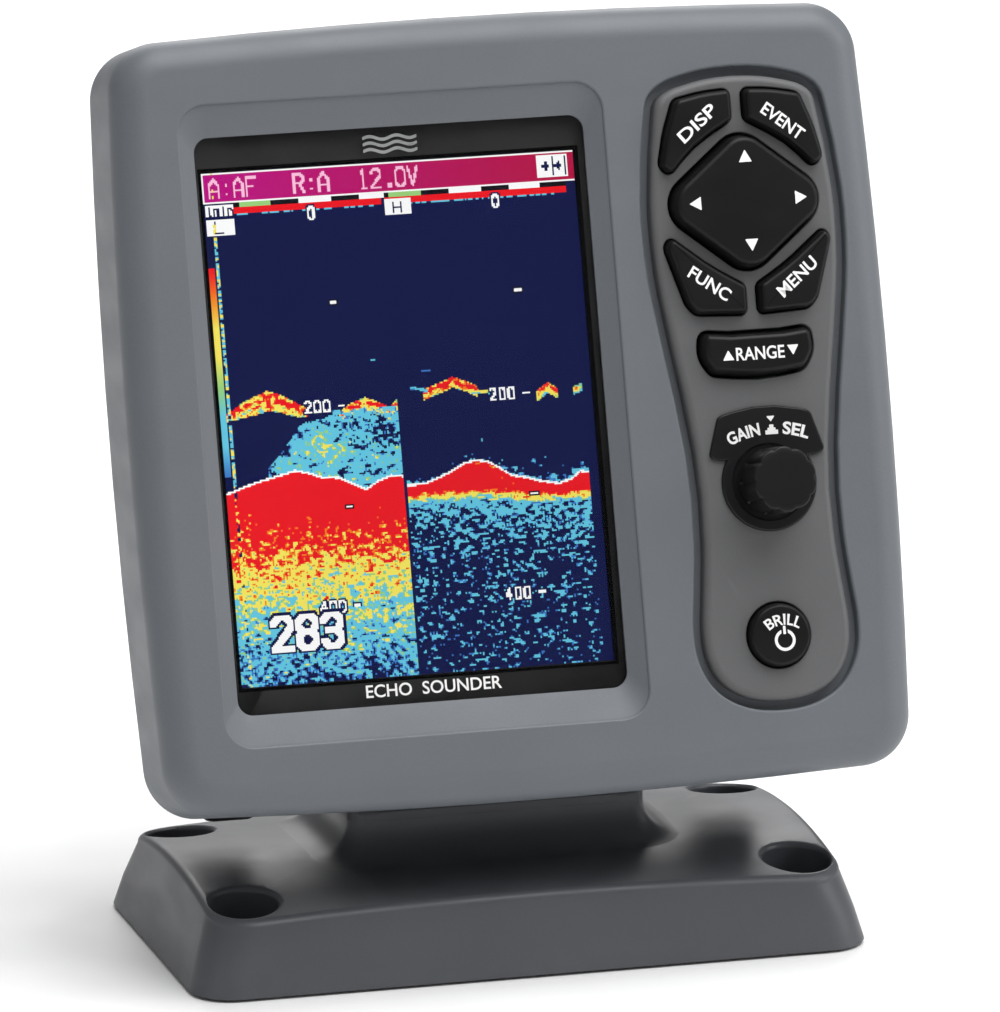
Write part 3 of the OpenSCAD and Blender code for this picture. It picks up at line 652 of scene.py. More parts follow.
CURSOR_AT, RANGE_AT, KNOB_AT, POWER_AT = (0, 43), (0, 8.5), (0.6, -20.5), (0, -55)
key_places = [("event", upper_key, (0, 0), key_gap), ("disp", flip(upper_key), (0, 0), key_gap),
              ("menu", lower_key, (0, 0), key_gap), ("func", flip(lower_key), (0, 0), key_gap),
              ("cursor", cursor_key, CURSOR_AT, rock_gap), ("range", range_key, RANGE_AT, rock_gap),
              ("power", power_key, POWER_AT, key_gap)]

def key_hole_cutters(x, y, bottom, mouth):
    """Cutters for every key's hole, with rims rounded at the height of the mouth."""
    cutters = []
    for name, shape, (kx, ky), gap in key_places:
        levels = [(-gap, bottom)] + [(-gap + inset, z) for inset, z in flare(0.35, mouth, 3)]
        cutters.append(moulding(name + "_hole", shape, levels, x + kx, y + ky))
    return cutters

# %% Bezel
def build_bezel():
    shell = moulding("bezel_shell", case_shape, [(0.7, -25), (0, -24.3)] + over_edge(7.5, 0, steps=9))
    hollow = moulding("hollow", case_shape, [(2.6, -26), (2.6, -10.5), (5.5, -4.6), (9, -3)])
    combine(shell, [hollow])
    backing = moulding("window_backing", box_outline(102.3, 147.5, 6), [(0, -5.8), (0, -1)],
                       *window_centre)
    pad = moulding("keypad_backing", groove_shape, [(-3.1, -5), (-3.1, -1)], *KEYPAD)
    combine(shell, [backing, pad], "UNION")
    deep, wide = box_outline(90.5, 129.3, 3.5), box_outline(98.3, 143.5, 6.5)
    centre = window_centre
    slope = [ring(deep, 0, z, *centre) for z in (-7, -3.2)]
    slope += [ring(wide, inset, z, *centre) for inset, z in flare(0.6, 0, 4)]
    step = moulding("pane_seat", box_outline(95, 133.8, 4), [(0, -7), (0, -3.8)], *centre)
    groove = moulding("groove", groove_shape,
                      [(-1.1, -3.1)] + [(-1.1 + inset, z) for inset, z in flare(0.7, 0, 4)], *KEYPAD)
    combine(shell, [loft("recess", slope), step, groove])
    bush = moulding("bush_hole", round_outline(4.7, 48), [(0, -8), (0, 0)], *on_keypad(KNOB_AT))
    combine(shell, [*key_hole_cutters(*KEYPAD, -8, -2.0), bush])
    return shade(to_display(shell))

bezel_shell = finish_piece(build_bezel(), "display", "case_plastic", "front_bezel")

# %% [markdown]
# ## The keypad panel
# A separate darker panel sits in the hollow with a narrow groove all round. It has the same hourglass
# outline, further in, and a well-rounded rim, so the groove reads as a soft dark line.

# %% Keypad panel
def build_keypad_panel():
    panel = moulding("keypad_panel", groove_shape, [(1.1, -3.1)] + over_edge(1.7, 1.2, 1.1), *KEYPAD)
    bush = moulding("bush_hole", round_outline(6.6, 48), [(0, -5), (0, 3)], *on_keypad(KNOB_AT))
    combine(panel, [*key_hole_cutters(*KEYPAD, -5, 1.2), bush])
    return shade(to_display(panel))

keypad_panel = finish_piece(build_keypad_panel(), "display", "fascia_plastic", "keypad_fascia")

# %% [markdown]
# ## Keys
# Each key is a silicone moulding: straight inside the panel, leaning in slightly above it, with a
# rounded top edge and a thin flange underneath that stops it falling out. All of that is one loft.

# %% Keys
KEY_TOP, CURSOR_TOP, RANGE_TOP, POWER_TOP, PLATE_TOP = 4.2, 5.3, 4.5, 3.5, 2.2

def key_levels(top, lean=0.35, rounding=1.0, flange=True):
    under = [(0, -7), (0, -6.4), (-0.9, -6.4), (-0.9, -5.5), (0, -5.5)] if flange else [(0, -4.5)]
    return under + [(0, 0.6), (lean * 0.4, 1.8)] + over_edge(rounding, top, lean, 5)

def build_key(name, shape, top, place=(0, 0), **levels):
    key = moulding(name, shape, key_levels(top, **levels), *on_keypad(place))
    return shade(to_display(key), 40)

for key_name, shape, place, gap in key_places[:4]:
    finish_piece(build_key(key_name + "_key_cap", shape, KEY_TOP), key_name + "_key", "key_rubber",
                 key_name + "_key")
finish_piece(build_key("power_key_cap", power_key, POWER_TOP, POWER_AT, lean=0.3, rounding=0.9),
             "power_key", "key_rubber", "power_key")

# %% [markdown]
# The cursor pad and the range key rock on pins under them. Their undersides are hollow in the CAD
# model, so the new piece keeps those pins and, under the pad, the socket of its pivot.

# %% Rocking keys
def build_rocker(name, shape, top, place, pins, socket=0):
    x, y = on_keypad(place)
    pad = moulding(name, shape, key_levels(top, 0.5, 1.3, flange=False), x, y)
    feet = [moulding("pin", round_outline(1.2, 20), [(0.2, -7.2), (0, -7.0), (0, -3.2)], x + px, y + py)
            for px, py in pins]
    combine(pad, feet, "UNION")
    if socket:
        combine(pad, [moulding("socket", round_outline(socket, 40), [(0, -6), (0, -0.4)], x, y)])
    return shade(to_display(pad), 40)

cursor_cap = build_rocker("cursor_pad_cap", cursor_key, CURSOR_TOP, CURSOR_AT,
                          [(11, 0), (-11, 0), (0, 9.5), (0, -9.5)], 6.4)
finish_piece(cursor_cap, "cursor_pad", "key_rubber", "cursor_pad")
range_cap = build_rocker("range_rocker_cap", range_key, RANGE_TOP, RANGE_AT, [(9, 0), (-9, 0)])
finish_piece(range_cap, "range_rocker", "key_rubber", "range_rocker")

# %% [markdown]
# ## Gain knob
# The knob is a turned shape with shallow flutes. Rings whose radius rises and falls round the circle
# give the flutes, and the flute depth fades to nothing at the skirt and at the top edge.

# %% Fluted knobs
def fluted(radius, depth, count, points=168, phase=0.0):
    """A circle with rounded grips cut into it."""
    places = []
    for k in range(points):
        a = 2 * math.pi * k / points
        wave = abs(math.sin(count * a / 2 + phase))
        places.append((radius - depth * (1 - wave) ** 1.6, a))
    return places

def turned(name, levels, count=14, points=168, x=0, y=0, phase=0.0):
    """A turned piece from (radius, flute depth, height)."""
    rings = [[Vector(((r * math.cos(a) + x) * MM, (r * math.sin(a) + y) * MM, z * MM))
              for r, a in fluted(radius, depth, count, points, phase)] for radius, depth, z in levels]
    return loft(name, rings)

def build_gain_knob():
    knob = turned("gain_knob_cap", [(7.2, 0, 3.2), (7.6, 0, 3.5), (7.6, 0, 4.4), (7.6, 0.5, 4.8),
                                    (7.45, 0.55, 14.1), (7.38, 0.52, 14.4), (7.2, 0.45, 14.6),
                                    (6.95, 0.35, 14.68), (6.0, 0.0, 14.74), (3.0, 0, 14.82)], count=10,
                  points=160)
    bore = moulding("bore", round_outline(3.0, 48), [(0, 1), (0, 12.8)])
    combine(knob, [bore])
    return shade(to_display(knob, *on_keypad(KNOB_AT)), 38)

finish_piece(build_gain_knob(), "gain_knob", "knob_plastic", "gain_knob")

# %% Knob surround
def build_knob_surround():
    x, y = on_keypad(KNOB_AT)
    levels = [(0, 1.2)] + over_edge(0.5, PLATE_TOP, 0, 4)
    plate = moulding("knob_surround_plate", surround_plate, levels, x, y)
    disc = moulding("disc", surround_round, levels, x, y)
    combine(plate, [disc], "UNION")
    dish = moulding("dish", round_outline(8.6, 72), [(0.8, 1.75)] + flare(0.3, PLATE_TOP, 3), x, y)
    hole = moulding("hole", round_outline(6.6, 64), [(0, 0), (0, 4)], x, y)
    combine(plate, [dish, hole])
    return shade(to_display(plate), 38)

finish_piece(build_knob_surround(), "display", "knob_plastic", "knob_surround")

# %% [markdown]
# ## The window
# The pane is a flat plate of coated glass in its seat. Its black border is printed on the back, so the
# border is a separate thin layer just under the glass, with an opening the size of the lit picture.
# The white and silver prints are on the front of the pane.

# %% Window pane and printed border
def build_pane():
    pane = moulding("window_pane", box_outline(94.3, 133.1, 3.8),
                    [(0.25, -5.8), (0, -5.6), (0, -4.0), (0.2, -3.8)], *window_centre)
    return shade(to_display(pane))

finish_piece(build_pane(), "display", "window_glass", "display_window")

def build_border():
    border = moulding("window_border", box_outline(93.6, 132.4, 3.6), [(0, -5.98), (0, -5.86)],
                      *window_centre)
    lit = moulding("lit_opening", box_outline(87.0, 115.8, 0.4), [(0, -7), (0, -5)], *screen_centre)
    return shade(to_display(combine(border, [lit])))

finish_piece(build_border(), "display", "chip_plastic", material=print_black)

# %% [markdown]
# ## Printed words
# A word is typed as a text object, made a mesh, scaled to the letter height it needs and laid where it
# is printed. It is sunk by a hundredth of a millimetre and stands a few hundredths proud, as pad
# printing does.

# %% Words
SUNK = 0.01
PANE_FRONT = -3.8

def word(name, body, cap_height, width=None, weight=0.018, thick=0.05):
    """A flat word centred on the origin, with its capitals cap_height mm tall."""
    deselect()
    bpy.ops.object.text_add()
    text = bpy.context.object
    text.data.body = body
    text.data.size = 1
    text.data.offset = weight
    text.data.resolution_u = 4
    text.data.extrude = 0.02
    bpy.ops.object.convert(target="MESH")
    text = bpy.context.object
    text.name = text.data.name = name
    low = Vector(min(v.co[i] for v in text.data.vertices) for i in range(3))
    high = Vector(max(v.co[i] for v in text.data.vertices) for i in range(3))
    size, middle = high - low, (high + low) / 2
    tall = cap_height / size.y
    wide = width / size.x if width else tall * 0.95
    for corner in text.data.vertices:
        offset = corner.co - middle
        corner.co = Vector((offset.x * wide * MM, offset.y * tall * MM,
                            (offset.z / size.z + 0.5) * thick * MM))
    outward(text)
    return text

def curl(piece, radius):
    """Wraps a flat word round a circle below it, so that its letters fan out."""
    for corner in piece.data.vertices:
        a = corner.co.x / (radius * MM)
        r = radius * MM + corner.co.y
        corner.co = Vector((r * math.sin(a), r * math.cos(a) - radius * MM, corner.co.z))
    return piece

def triangle(name, width, height, thick=0.05, turn=0):
    """A printed arrow head that points up, turned anticlockwise by a number of degrees."""
    shape = outline([(-width / 2, -height / 2, 0.12), (width / 2, -height / 2, 0.12),
                     (0, height / 2, 0.12)], 40)
    piece = moulding(name, shape, [(0, 0), (0, thick)])
    piece.rotation_euler.z = math.radians(turn)
    return settle(piece)

def printed(piece, body, x, y, z, turn=0, slot="nylon", material=None):
    """Lays a print on the display or on a key, at a place given in the display's own axes."""
    to_display(piece, x, y, z, turn)
    return finish_piece(piece, body, slot, material=material or print_white)

# %% Words on the keys
on_keys = [("disp", "DISP", 10.8, (-10.2, 61.2), 39), ("event", "EVENT", 11.2, (9.9, 60.4), -39),
           ("func", "FUNC", 10.8, (-10.3, 24.9), -36), ("menu", "MENU", 11.2, (10.3, 25.2), 39)]
for key, body, width, place, turn in on_keys:
    legend = word(key + "_print", body, 2.95, width)
    printed(legend, key + "_key", *on_keypad(place), KEY_TOP - SUNK, turn)

cursor_x, cursor_y = on_keypad(CURSOR_AT)
arrows = []
for name, dx, dy, turn in (("up", 0, 10.1, 0), ("left", -12.5, 0, 90), ("down", 0, -10.1, 180),
                           ("right", 12.4, 0, -90)):
    arrow = triangle("arrow_" + name, 3.1, 2.8, turn=turn)
    arrow.location = (dx * MM, dy * MM, 0)
    arrows.append(arrow)
settle(*arrows)
printed(joined("cursor_arrows", arrows), "cursor_pad", cursor_x, cursor_y, CURSOR_TOP - SUNK)

range_x, range_y = on_keypad(RANGE_AT)
printed(word("range_print", "RANGE", 3.0, 11.4), "range_rocker", range_x + 0.1, range_y + 0.1,
        RANGE_TOP - SUNK)
printed(triangle("range_up", 2.7, 2.3), "range_rocker", range_x - 7.4, range_y, RANGE_TOP - SUNK)
printed(triangle("range_down", 2.7, 2.3, turn=180), "range_rocker", range_x + 7.8, range_y + 0.3,
        RANGE_TOP - SUNK)

# %% Words round the knob and on the power key
knob_x, knob_y = on_keypad(KNOB_AT)
words_radius = 24
for name, body, width, lean in (("gain_print", "GAIN", 8.0, 15.4), ("select_print", "SEL", 6.4, -14.8)):
    piece = curl(word(name, body, 2.9, width, weight=0.03), words_radius)
    a = math.radians(90 + lean)
    x = knob_x + 1.0 + words_radius * math.cos(a)
    y = knob_y - 11.8 + words_radius * math.sin(a)
    printed(piece, "display", x, y, PLATE_TOP - SUNK, lean)
printed(triangle("push_arrow", 2.0, 1.3, turn=180), "display", knob_x + 1.3, knob_y + 14.2,
        PLATE_TOP - SUNK)
steps = [(1.5, 0, 0.1), (1.5, 0.95, 0.1), (0.95, 0.95, 0), (0.95, 1.5, 0.1), (0.5, 1.5, 0),
         (0.5, 2.2, 0.1)]
push_icon = moulding("push_icon", outline(steps + [(-x, y, r) for x, y, r in reversed(steps)], 40),
                     [(0, 0), (0, 0.05)])
printed(push_icon, "display", knob_x + 1.35, knob_y + 10.7, PLATE_TOP - SUNK)

def build_power_symbol():
    loop = moulding("power_symbol", round_outline(2.45, 40), [(0, 0), (0, 0.05)])
    inside = moulding("inside", round_outline(1.75, 40), [(0, -1), (0, 1)])
    slot_cut = moulding("slot_cut", box_outline(1.5, 2.0, 0), [(0, -1), (0, 1)], 0, 2.4)
    combine(loop, [inside, slot_cut])
    stroke = moulding("stroke", box_outline(0.62, 1.9, 0.2), [(0, 0), (0, 0.05)], 0, 2.3)
    return joined("power_symbol", [loop, stroke])

power_x, power_y = on_keypad(POWER_AT)
printed(build_power_symbol(), "power_key", power_x + 0.75, power_y - 1.3, POWER_TOP - SUNK)
printed(curl(word("brightness_print", "BRILL", 2.5, 8.8), 7.2), "power_key", power_x + 0.7,
        power_y + 3.4, POWER_TOP - SUNK)

# %% Prints on the window border
def build_wave_mark():
    """Three short waves in silver, a plain sign for water."""
    waves = []
    for row in range(3):
        crest, spacing, half = 0.4, 1.45, 0.36
        upper = [(x, crest * math.sin(x) + row * spacing + half, AS_LARGE_AS_FITS)
                 for x in np.linspace(6.3, -6.3, 29)]
        lower = [(x, crest * math.sin(x) + row * spacing - half, AS_LARGE_AS_FITS)
                 for x in np.linspace(-6.3, 6.3, 29)]
        waves.append(moulding("wave", outline(upper + lower, 20), [(0, 0), (0, 0.04)]))
    return joined("wave_mark", waves)

printed(build_wave_mark(), "display", screen_centre[0] + 0.2, 59.2, PANE_FRONT, slot="steel",
        material=silver_print)
window_title = word("window_title", "ECHO  SOUNDER", 2.9, 31.5, weight=0.012, thick=0.03)
printed(window_title, "display", screen_centre[0] + 0.3, -61.5, PANE_FRONT)

# %% [markdown]
# ## The picture on the screen
# An echo sounder draws one column of dots for each ping, with depth downwards and the strength of the
# echo as colour: blue for weak, then cyan, yellow, orange and red. The picture is worked out that way,
# on a grid with the dot size of the real panel. Strength falls with depth below the seabed, and noise
# smeared along the track breaks it into short dashes. It becomes a colour attribute on a grid of faces.

# %% Picture grid
DOTS_X, DOTS_Y, DOT = 240, 320, 0.36
HALF_WIDE, HALF_TALL = 43.2, 57.6
dots = np.random.default_rng(7)
xs = (np.arange(DOTS_X) + 0.5) * DOT - HALF_WIDE
ys = HALF_TALL - (np.arange(DOTS_Y) + 0.5) * DOT
X, Y = np.meshgrid(xs, ys)
hue = {"navy": (5, 13, 66), "blue": (58, 118, 196), "cyan": (98, 196, 222), "green": (150, 205, 120),
       "yellow": (242, 226, 92), "orange": (240, 128, 24), "red": (232, 14, 24),
       "white": (250, 250, 250), "black": (6, 6, 10)}
picture = np.empty((DOTS_Y, DOTS_X, 3))
picture[:] = hue["navy"]

def fill(x0, x1, y0, y1, colour):
    picture[(X > x0) & (X < x1) & (Y > y0) & (Y < y1)] = hue.get(colour, colour)

def dashes(wide, tall):
    """Noise smeared along the track, from about -2 to 2."""
    rough = dots.standard_normal((DOTS_Y, DOTS_X))
    for axis, size in ((1, wide), (0, tall)):
        rough = sum(np.roll(rough, k, axis) for k in range(size)) / math.sqrt(size)
    return rough

fine_dashes, short_dashes, broad = dashes(4, 2), dashes(3, 2), dashes(9, 5)

# %% Echoes as colours
def paint(strength, where, weakest=0.13):
    """Colours the dots of a region by the strength of their echo."""
    steps = (("blue", weakest), ("cyan", 0.2), ("green", 0.41), ("yellow", 0.46), ("orange", 0.68),
             ("red", 0.74))
    for colour, level in steps:
        picture[where & (strength > level)] = hue[colour]

def line_through(*stops):
    return np.interp(X, [s[0] for s in stops], [s[1] for s in stops])

def down_to(*stops):
    """A value that changes with depth, from stops given deepest first."""
    return np.interp(Y, [s[0] for s in stops], [s[1] for s in stops])

def band(crest, thick, core):
    """Strength of a school: strongest under its crest, and weaker below."""
    inside = (crest - Y) / thick
    return np.where((inside > 0) & (inside < 1), core - 0.55 * np.abs(inside - 0.35), 0)

left_panel, right_panel = X < -2.0, (X > -1.5) & (X < 41.2)

def paint_left():
    crest = line_through((-41.6, 3.5), (-38, 5.9), (-35, 7.1), (-32, 8.2), (-29, 7.2), (-26, 5.4),
                         (-23, 3.6))
    school = np.where((X > -41.6) & (X < -23), band(crest, 4.4 - 0.03 * (X + 32) ** 2, 0.88), 0)
    paint(school + 0.13 * short_dashes, left_panel & (school > 0.1))
    crest = line_through((-16, 2.2), (-13, 4.2), (-9.5, 5.3), (-6, 3.8), (-4, 2.6), (-2, 4.6))
    school = np.where(X > -16, band(crest, 3.0, 0.82), 0)
    paint(school + 0.14 * short_dashes, left_panel & (school > 0.1))
    edge_left = down_to((-13, -33), (-9, -33), (-5, -29), (0, -25), (2, -20), (4, -16))
    glow = 0.20 * np.exp(-((X + 20.5) / 3.5) ** 2 - ((Y + 5) / 3) ** 2)
    cloud = 0.27 + 0.04 * broad + 0.07 * short_dashes + glow
    cloud -= 0.035 * np.clip((edge_left + 4 - X) / 2, 0, 4) + np.where((X > -13) & (Y > -6), 0.07, 0)
    paint(np.minimum(cloud, 0.6), left_panel & (X > edge_left) & (Y < 2.8) & (Y > -16), 0.18)
    seabed = line_through((-43.2, -14.5), (-38, -12.9), (-35, -12.1), (-30, -11.0), (-27, -10.3),
                          (-24, -11.0), (-21, -12.2), (-17, -12.5), (-14, -14.0), (-11, -15.6),
                          (-8, -13.9), (-5, -12.9), (-2, -13.2))
    strength = down_to((-57.6, 0.15), (-50, 0.26), (-43, 0.38), (-38, 0.50), (-33, 0.60), (-28, 0.75),
                       (-22, 0.90), (-14, 1.2))
    below = left_panel & (Y < seabed)
    picture[below] = hue["navy"]
    paint(strength + 0.105 * short_dashes + 0.03 * broad, below)
    picture[left_panel & (Y < seabed + 0.5) & (Y > seabed)] = hue["white"]

def paint_right():
    for crest, thick, core in (
            (((4, 6.1), (8, 7.4), (11, 8.5), (14, 7.4), (16.6, 6.0)), 2.4, 0.9),
            (((1, 7.0), (5, 6.2)), 0.8, 0.45),
            (((15, 5.4), (19.6, 5.0)), 0.9, 0.75),
            (((30.3, 4.0), (33, 5.8), (35.4, 4.2)), 2.4, 0.8),
            (((39, 4.4), (41.2, 5.2)), 1.8, 0.62)):
        within = (X > crest[0][0]) & (X < crest[-1][0])
        school = np.where(within, band(line_through(*crest), thick, core), 0)
        paint(school + 0.1 * short_dashes, right_panel & (school > 0.05))
    top = line_through((-1.5, -15.4), (3, -15.2), (8, -13.4), (12, -11.4), (15, -10.8), (18, -11.4),
                       (20.5, -13.0), (23, -14.8), (26, -15.4), (30, -16.6), (34, -17.3), (37, -16.4),
                       (39, -14.9), (41.2, -15.3))
    foot = line_through((-1.5, -17.4), (8, -17.5), (16, -17.3), (24, -18.4), (30, -19.2), (41.2, -19.2))
    haze = down_to((-57.6, 0.085), (-40, 0.10), (-30, 0.125), (-24, 0.16), (-20.5, 0.23))
    haze = haze + np.where((X > 16) & (Y > -30), 0.03, 0)
    paint(np.minimum(haze + 0.083 * short_dashes, 0.3), right_panel & (Y < foot), 0.18)
    above = np.exp(-np.clip(Y - top, 0, 20) / (1.3 + 2.2 * (X > 20))) * 0.2
    paint(np.minimum(above + 0.06 * short_dashes, 0.3), right_panel & (Y >= top) & (Y < top + 6), 0.18)
    inside = np.clip((Y - foot + 2.2) / 3.0, 0, 1)
    layer = right_panel & (Y < top) & (Y > foot - 2.2)
    picture[layer & (inside > 0.25)] = hue["navy"]
    paint(0.22 + 0.75 * inside + 0.10 * fine_dashes, layer)
    picture[right_panel & (Y < top + 0.5) & (Y > top)] = hue["white"]

paint_left()
paint_right()

# %% [markdown]
# The instrument's own lettering is drawn with single strokes on a small grid, as its firmware does:
# each letter is a few lines, stamped dot by dot. Only plain readings are drawn.

# %% Stroke letters
STROKES = {"0": ["10 30 41 45 36 16 05 01 10"], "1": ["15 26 20", "10 30"],
           "2": ["05 16 36 45 44 00 40"], "3": ["05 16 36 45 44 33 13", "33 42 41 30 10 01"],
           "4": ["30 36 02 42"], "8": ["13 04 05 16 36 45 44 33 13 02 01 10 30 41 42 33"],
           "A": ["00 04 26 44 40", "02 42"], "F": ["46 06 00", "03 33"],
           "R": ["00 06 36 45 44 33 03", "23 40"], "V": ["06 20 46"], "L": ["06 00 40"],
           "H": ["00 06", "40 46", "03 43"], "m": ["00 04 44 40", "24 20"], "i": ["20 24", "26 26"],
           "n": ["00 04 34 43 40"], ":": ["21 21", "24 24"], ".": ["20 30 31 21 20"], "-": ["03 43"],
           "<": ["13 45", "13 41", "13 63"], "|": ["20 26"]}

def write(text, x, y, wide, tall, advance, stroke, colour, halo=None, halo_size=0):
    """Writes from the left end x and the baseline y, all in mm."""
    for size, tint in ((stroke + 2 * halo_size, halo), (stroke, colour)):
        if tint is None:
            continue
        for place, letter in enumerate(text):
            for line in STROKES.get(letter, []):
                stops = [(int(p[0]) / 4, int(p[1]) / 6) for p in line.split()]
                for (ax, ay), (bx, by) in zip(stops, stops[1:]):
                    for t in np.linspace(0, 1, 24):
                        px = x + place * advance + (ax + (bx - ax) * t) * wide
                        py = y + (ay + (by - ay) * t) * tall
                        fill(px - size / 2, px + size / 2, py - size / 2, py + size / 2, tint)

# %% Status bar, scales and depth
def paint_furniture():
    bar = Y > 51.0
    share = np.clip((X + HALF_WIDE) / (2 * HALF_WIDE), 0, 1)[..., None]
    picture[bar] = ((1 - share) * np.array((184, 6, 128)) + share * np.array((176, 10, 62)))[bar]
    fill(-44, 44, 57.2, 58, "white")
    fill(-44, -42.8, 51, 58, "white")
    fill(-44, 44, 50.6, 51.1, "white")
    for text, x in (("A:AF", -41.6), ("R:A", -21.9), ("12.0V", -6.9)):
        write(text, x, 52.1, 2.1, 4.0, 2.85, 0.5, (250, 190, 220))
    fill(34.6, 41.8, 51.7, 56.9, "white")
    for x, end in ((35.6, 37.6), (38.6, 40.4)):
        fill(x, end, 54.1, 54.6, "navy")
        for k in range(4):
            fill(x + 0.3 * k, x + 0.3 * k + 0.4, 54.35 - 0.3 * k, 54.35 + 0.3 * k + 0.1, "navy")
    fill(38.0, 38.4, 52.3, 56.4, "navy")
    fill(40.9, 41.3, 52.3, 56.4, "navy")
    for start, stop in ((-36.3, -2.0), (-1.4, 41.0)):
        fill(start, stop, 48.4, 50.0, "red")
        fill(start, stop, 49.5, 50.6, "black")
        for k, tint in enumerate(("green", "white", "white")):
            fill(start + 1.2 + 13.9 * k, start + 8.6 + 13.9 * k, 49.7, 50.6, tint)
        ragged = (X > start) & (X < stop) & (Y < 48.4) & (Y > 47.8) & (short_dashes > 0.1)
        picture[ragged] = hue["cyan"]
    fill(-42.9, -36.2, 47.7, 50.4, "white")
    write("1min", -42.3, 48.2, 1.05, 1.7, 1.55, 0.36, "navy")
    fill(-42.9, -36.4, 43.5, 47.1, "white")
    write("L", -40.8, 44.2, 1.6, 2.3, 2, 0.36, "navy")
    fill(-1.6, 4.6, 45.6, 49.4, "white")
    write("H", 0.4, 46.3, 1.9, 2.3, 2, 0.36, "navy")
    fill(-41.3, -40.6, -12.5, 43.2, "cyan")
    picture[(X > -41.3) & (X < -40.6) & (short_dashes > 0.6)] = hue["yellow"]
    picture[(X > -41.3) & (X < -40.6) & (Y < 43) & (short_dashes < -0.9)] = hue["navy"]
    strip = (X < -41.9) & (X > -43.5) & (Y < 36.2) & (Y > -10.4)
    stops = ("blue", "cyan", "cyan", "green", "yellow", "yellow", "orange", "red")
    level = np.clip((Y + 10.4) / 46.6, 0, 1)
    for channel in range(3):
        tone = np.interp(level, np.linspace(0, 1, len(stops)), [hue[s][channel] for s in stops])
        picture[..., channel][strip] = tone[strip]
    for x in (-19.2, 23.7):
        write("0", x, 46.0, 1.2, 2.6, 2, 0.45, "white", "navy", 0.35)
    for x in (-15.1, 27.9):
        for y in (27.0, -18.9):
            fill(x - 1.1, x + 1.1, y - 0.6, y + 0.6, "black")
            fill(x - 0.8, x + 0.8, y - 0.25, y + 0.25, "white")
        for depth, y in (("200", 2.6), ("400", -42.3)):
            write("-", x - 0.6, y, 1.2, 2.6, 2, 0.45, "white", "navy", 0.3)
            write(depth, x - 8.4, y, 1.25, 2.6, 2.15, 0.45, "white", "navy", 0.3)
    write("283", -34.9, -49.6, 4.0, 6.9, 5.8, 1.3, "white", "navy", 0.5)
    fill(-7.6, -6.6, 13.4, 13.8, "cyan")
    fill(4, 6, 10.1, 10.5, "blue")

paint_furniture()
print("picture dots", picture.shape)

# %% Lit face
def build_picture():
    deselect()
    bpy.ops.mesh.primitive_grid_add(x_subdivisions=DOTS_X, y_subdivisions=DOTS_Y, size=1)
    face = bpy.context.object
    face.name = face.data.name = "screen_picture"
    face.scale = (DOTS_X * DOT * MM, DOTS_Y * DOT * MM, 1)
    settle(face)
    centres = np.empty(len(face.data.polygons) * 3)
    face.data.polygons.foreach_get("center", centres)
    centres = centres.reshape(-1, 3) / MM
    column = np.clip(np.round((centres[:, 0] + HALF_WIDE) / DOT - 0.5).astype(int), 0, DOTS_X - 1)
    row = np.clip(np.round((HALF_TALL - centres[:, 1]) / DOT - 0.5).astype(int), 0, DOTS_Y - 1)
    bright = picture[row, column] / 255
    linear = np.where(bright < 0.04045, bright / 12.92, ((bright + 0.055) / 1.055) ** 2.4)
    colours = np.ones((len(linear), 4, 4))
    colours[:, :, :3] = linear[:, None, :]
    layer = face.data.color_attributes.new(name="picture", type="FLOAT_COLOR", domain="CORNER")
    layer.data.foreach_set("color", colours.ravel())
    return to_display(face, *screen_centre, -6.84)

def build_lit_material():
    material, tree, shader = new_material("lit_screen")
    shown = add(tree, "Attribute", {"attribute_name": "picture"}).outputs["Color"]
    at = add(tree, "TexCoord").outputs["Object"]
    even = spread(tree, noise(tree, at, 12.0), 0.3, 0.7, 0.94, 1.04)
    glow = add(tree, "VectorMath", {"operation": "SCALE"}, i0=shown, Scale=even).outputs[0]
    tree.links.new(glow, shader.inputs["Emission Color"])
    shader.inputs["Emission Strength"].default_value = 1.0
    shader.inputs["Specular IOR Level"].default_value = 0.1
    film = blend(tree, noise(tree, at, 60.0), (0.002, 0.003, 0.008, 1), (0.004, 0.005, 0.01, 1))
    tree.links.new(film, shader.inputs["Base Color"])
    shader.inputs["Roughness"].default_value = 0.35
    return material

finish_piece(build_picture(), "display", "lcd_glass", material=build_lit_material())

# %% [markdown]
# ## The desk mount
# The foot is one moulding with an arched top: highest along the middle, lower towards the front and
# back, and lowest at the corners. Each level of its loft drapes over that arch, so the rounded rim and
# the mouths of the screw wells follow it. The top is filled by levels that shrink towards the middle.

# %% Draped lofts
WELL_RADIUS = 7.75
WELLS = [(x, y) for x in (-65, 65) for y in (-29, 29)]
PIVOT = (8, 42)

def arch(x, y):
    """Height of the mount's top."""
    return 21.3 - 4.1 * (y / 38.2) ** 2 * (0.5 + 0.5 * min(1, abs(x) / 72) ** 2)

def divided(shape, parts=16):
    """The same outline with extra points along its long straight runs."""
    finer = []
    for i, (p, n) in enumerate(shape):
        q, m = shape[(i + 1) % len(shape)]
        count = parts if (q - p).length > 10 else 1
        finer += [(p.lerp(q, k / count), n.lerp(m, k / count).normalized() * n.length)
                  for k in range(count)]
    return finer

def draped(shape, inset, height, x=0, y=0):
    """A ring that keeps a height above the arch."""
    places = ring(shape, inset, 0, x, y)
    for p in places:
        p.z = (arch(p.x / MM, p.y / MM) + height) * MM
    return places

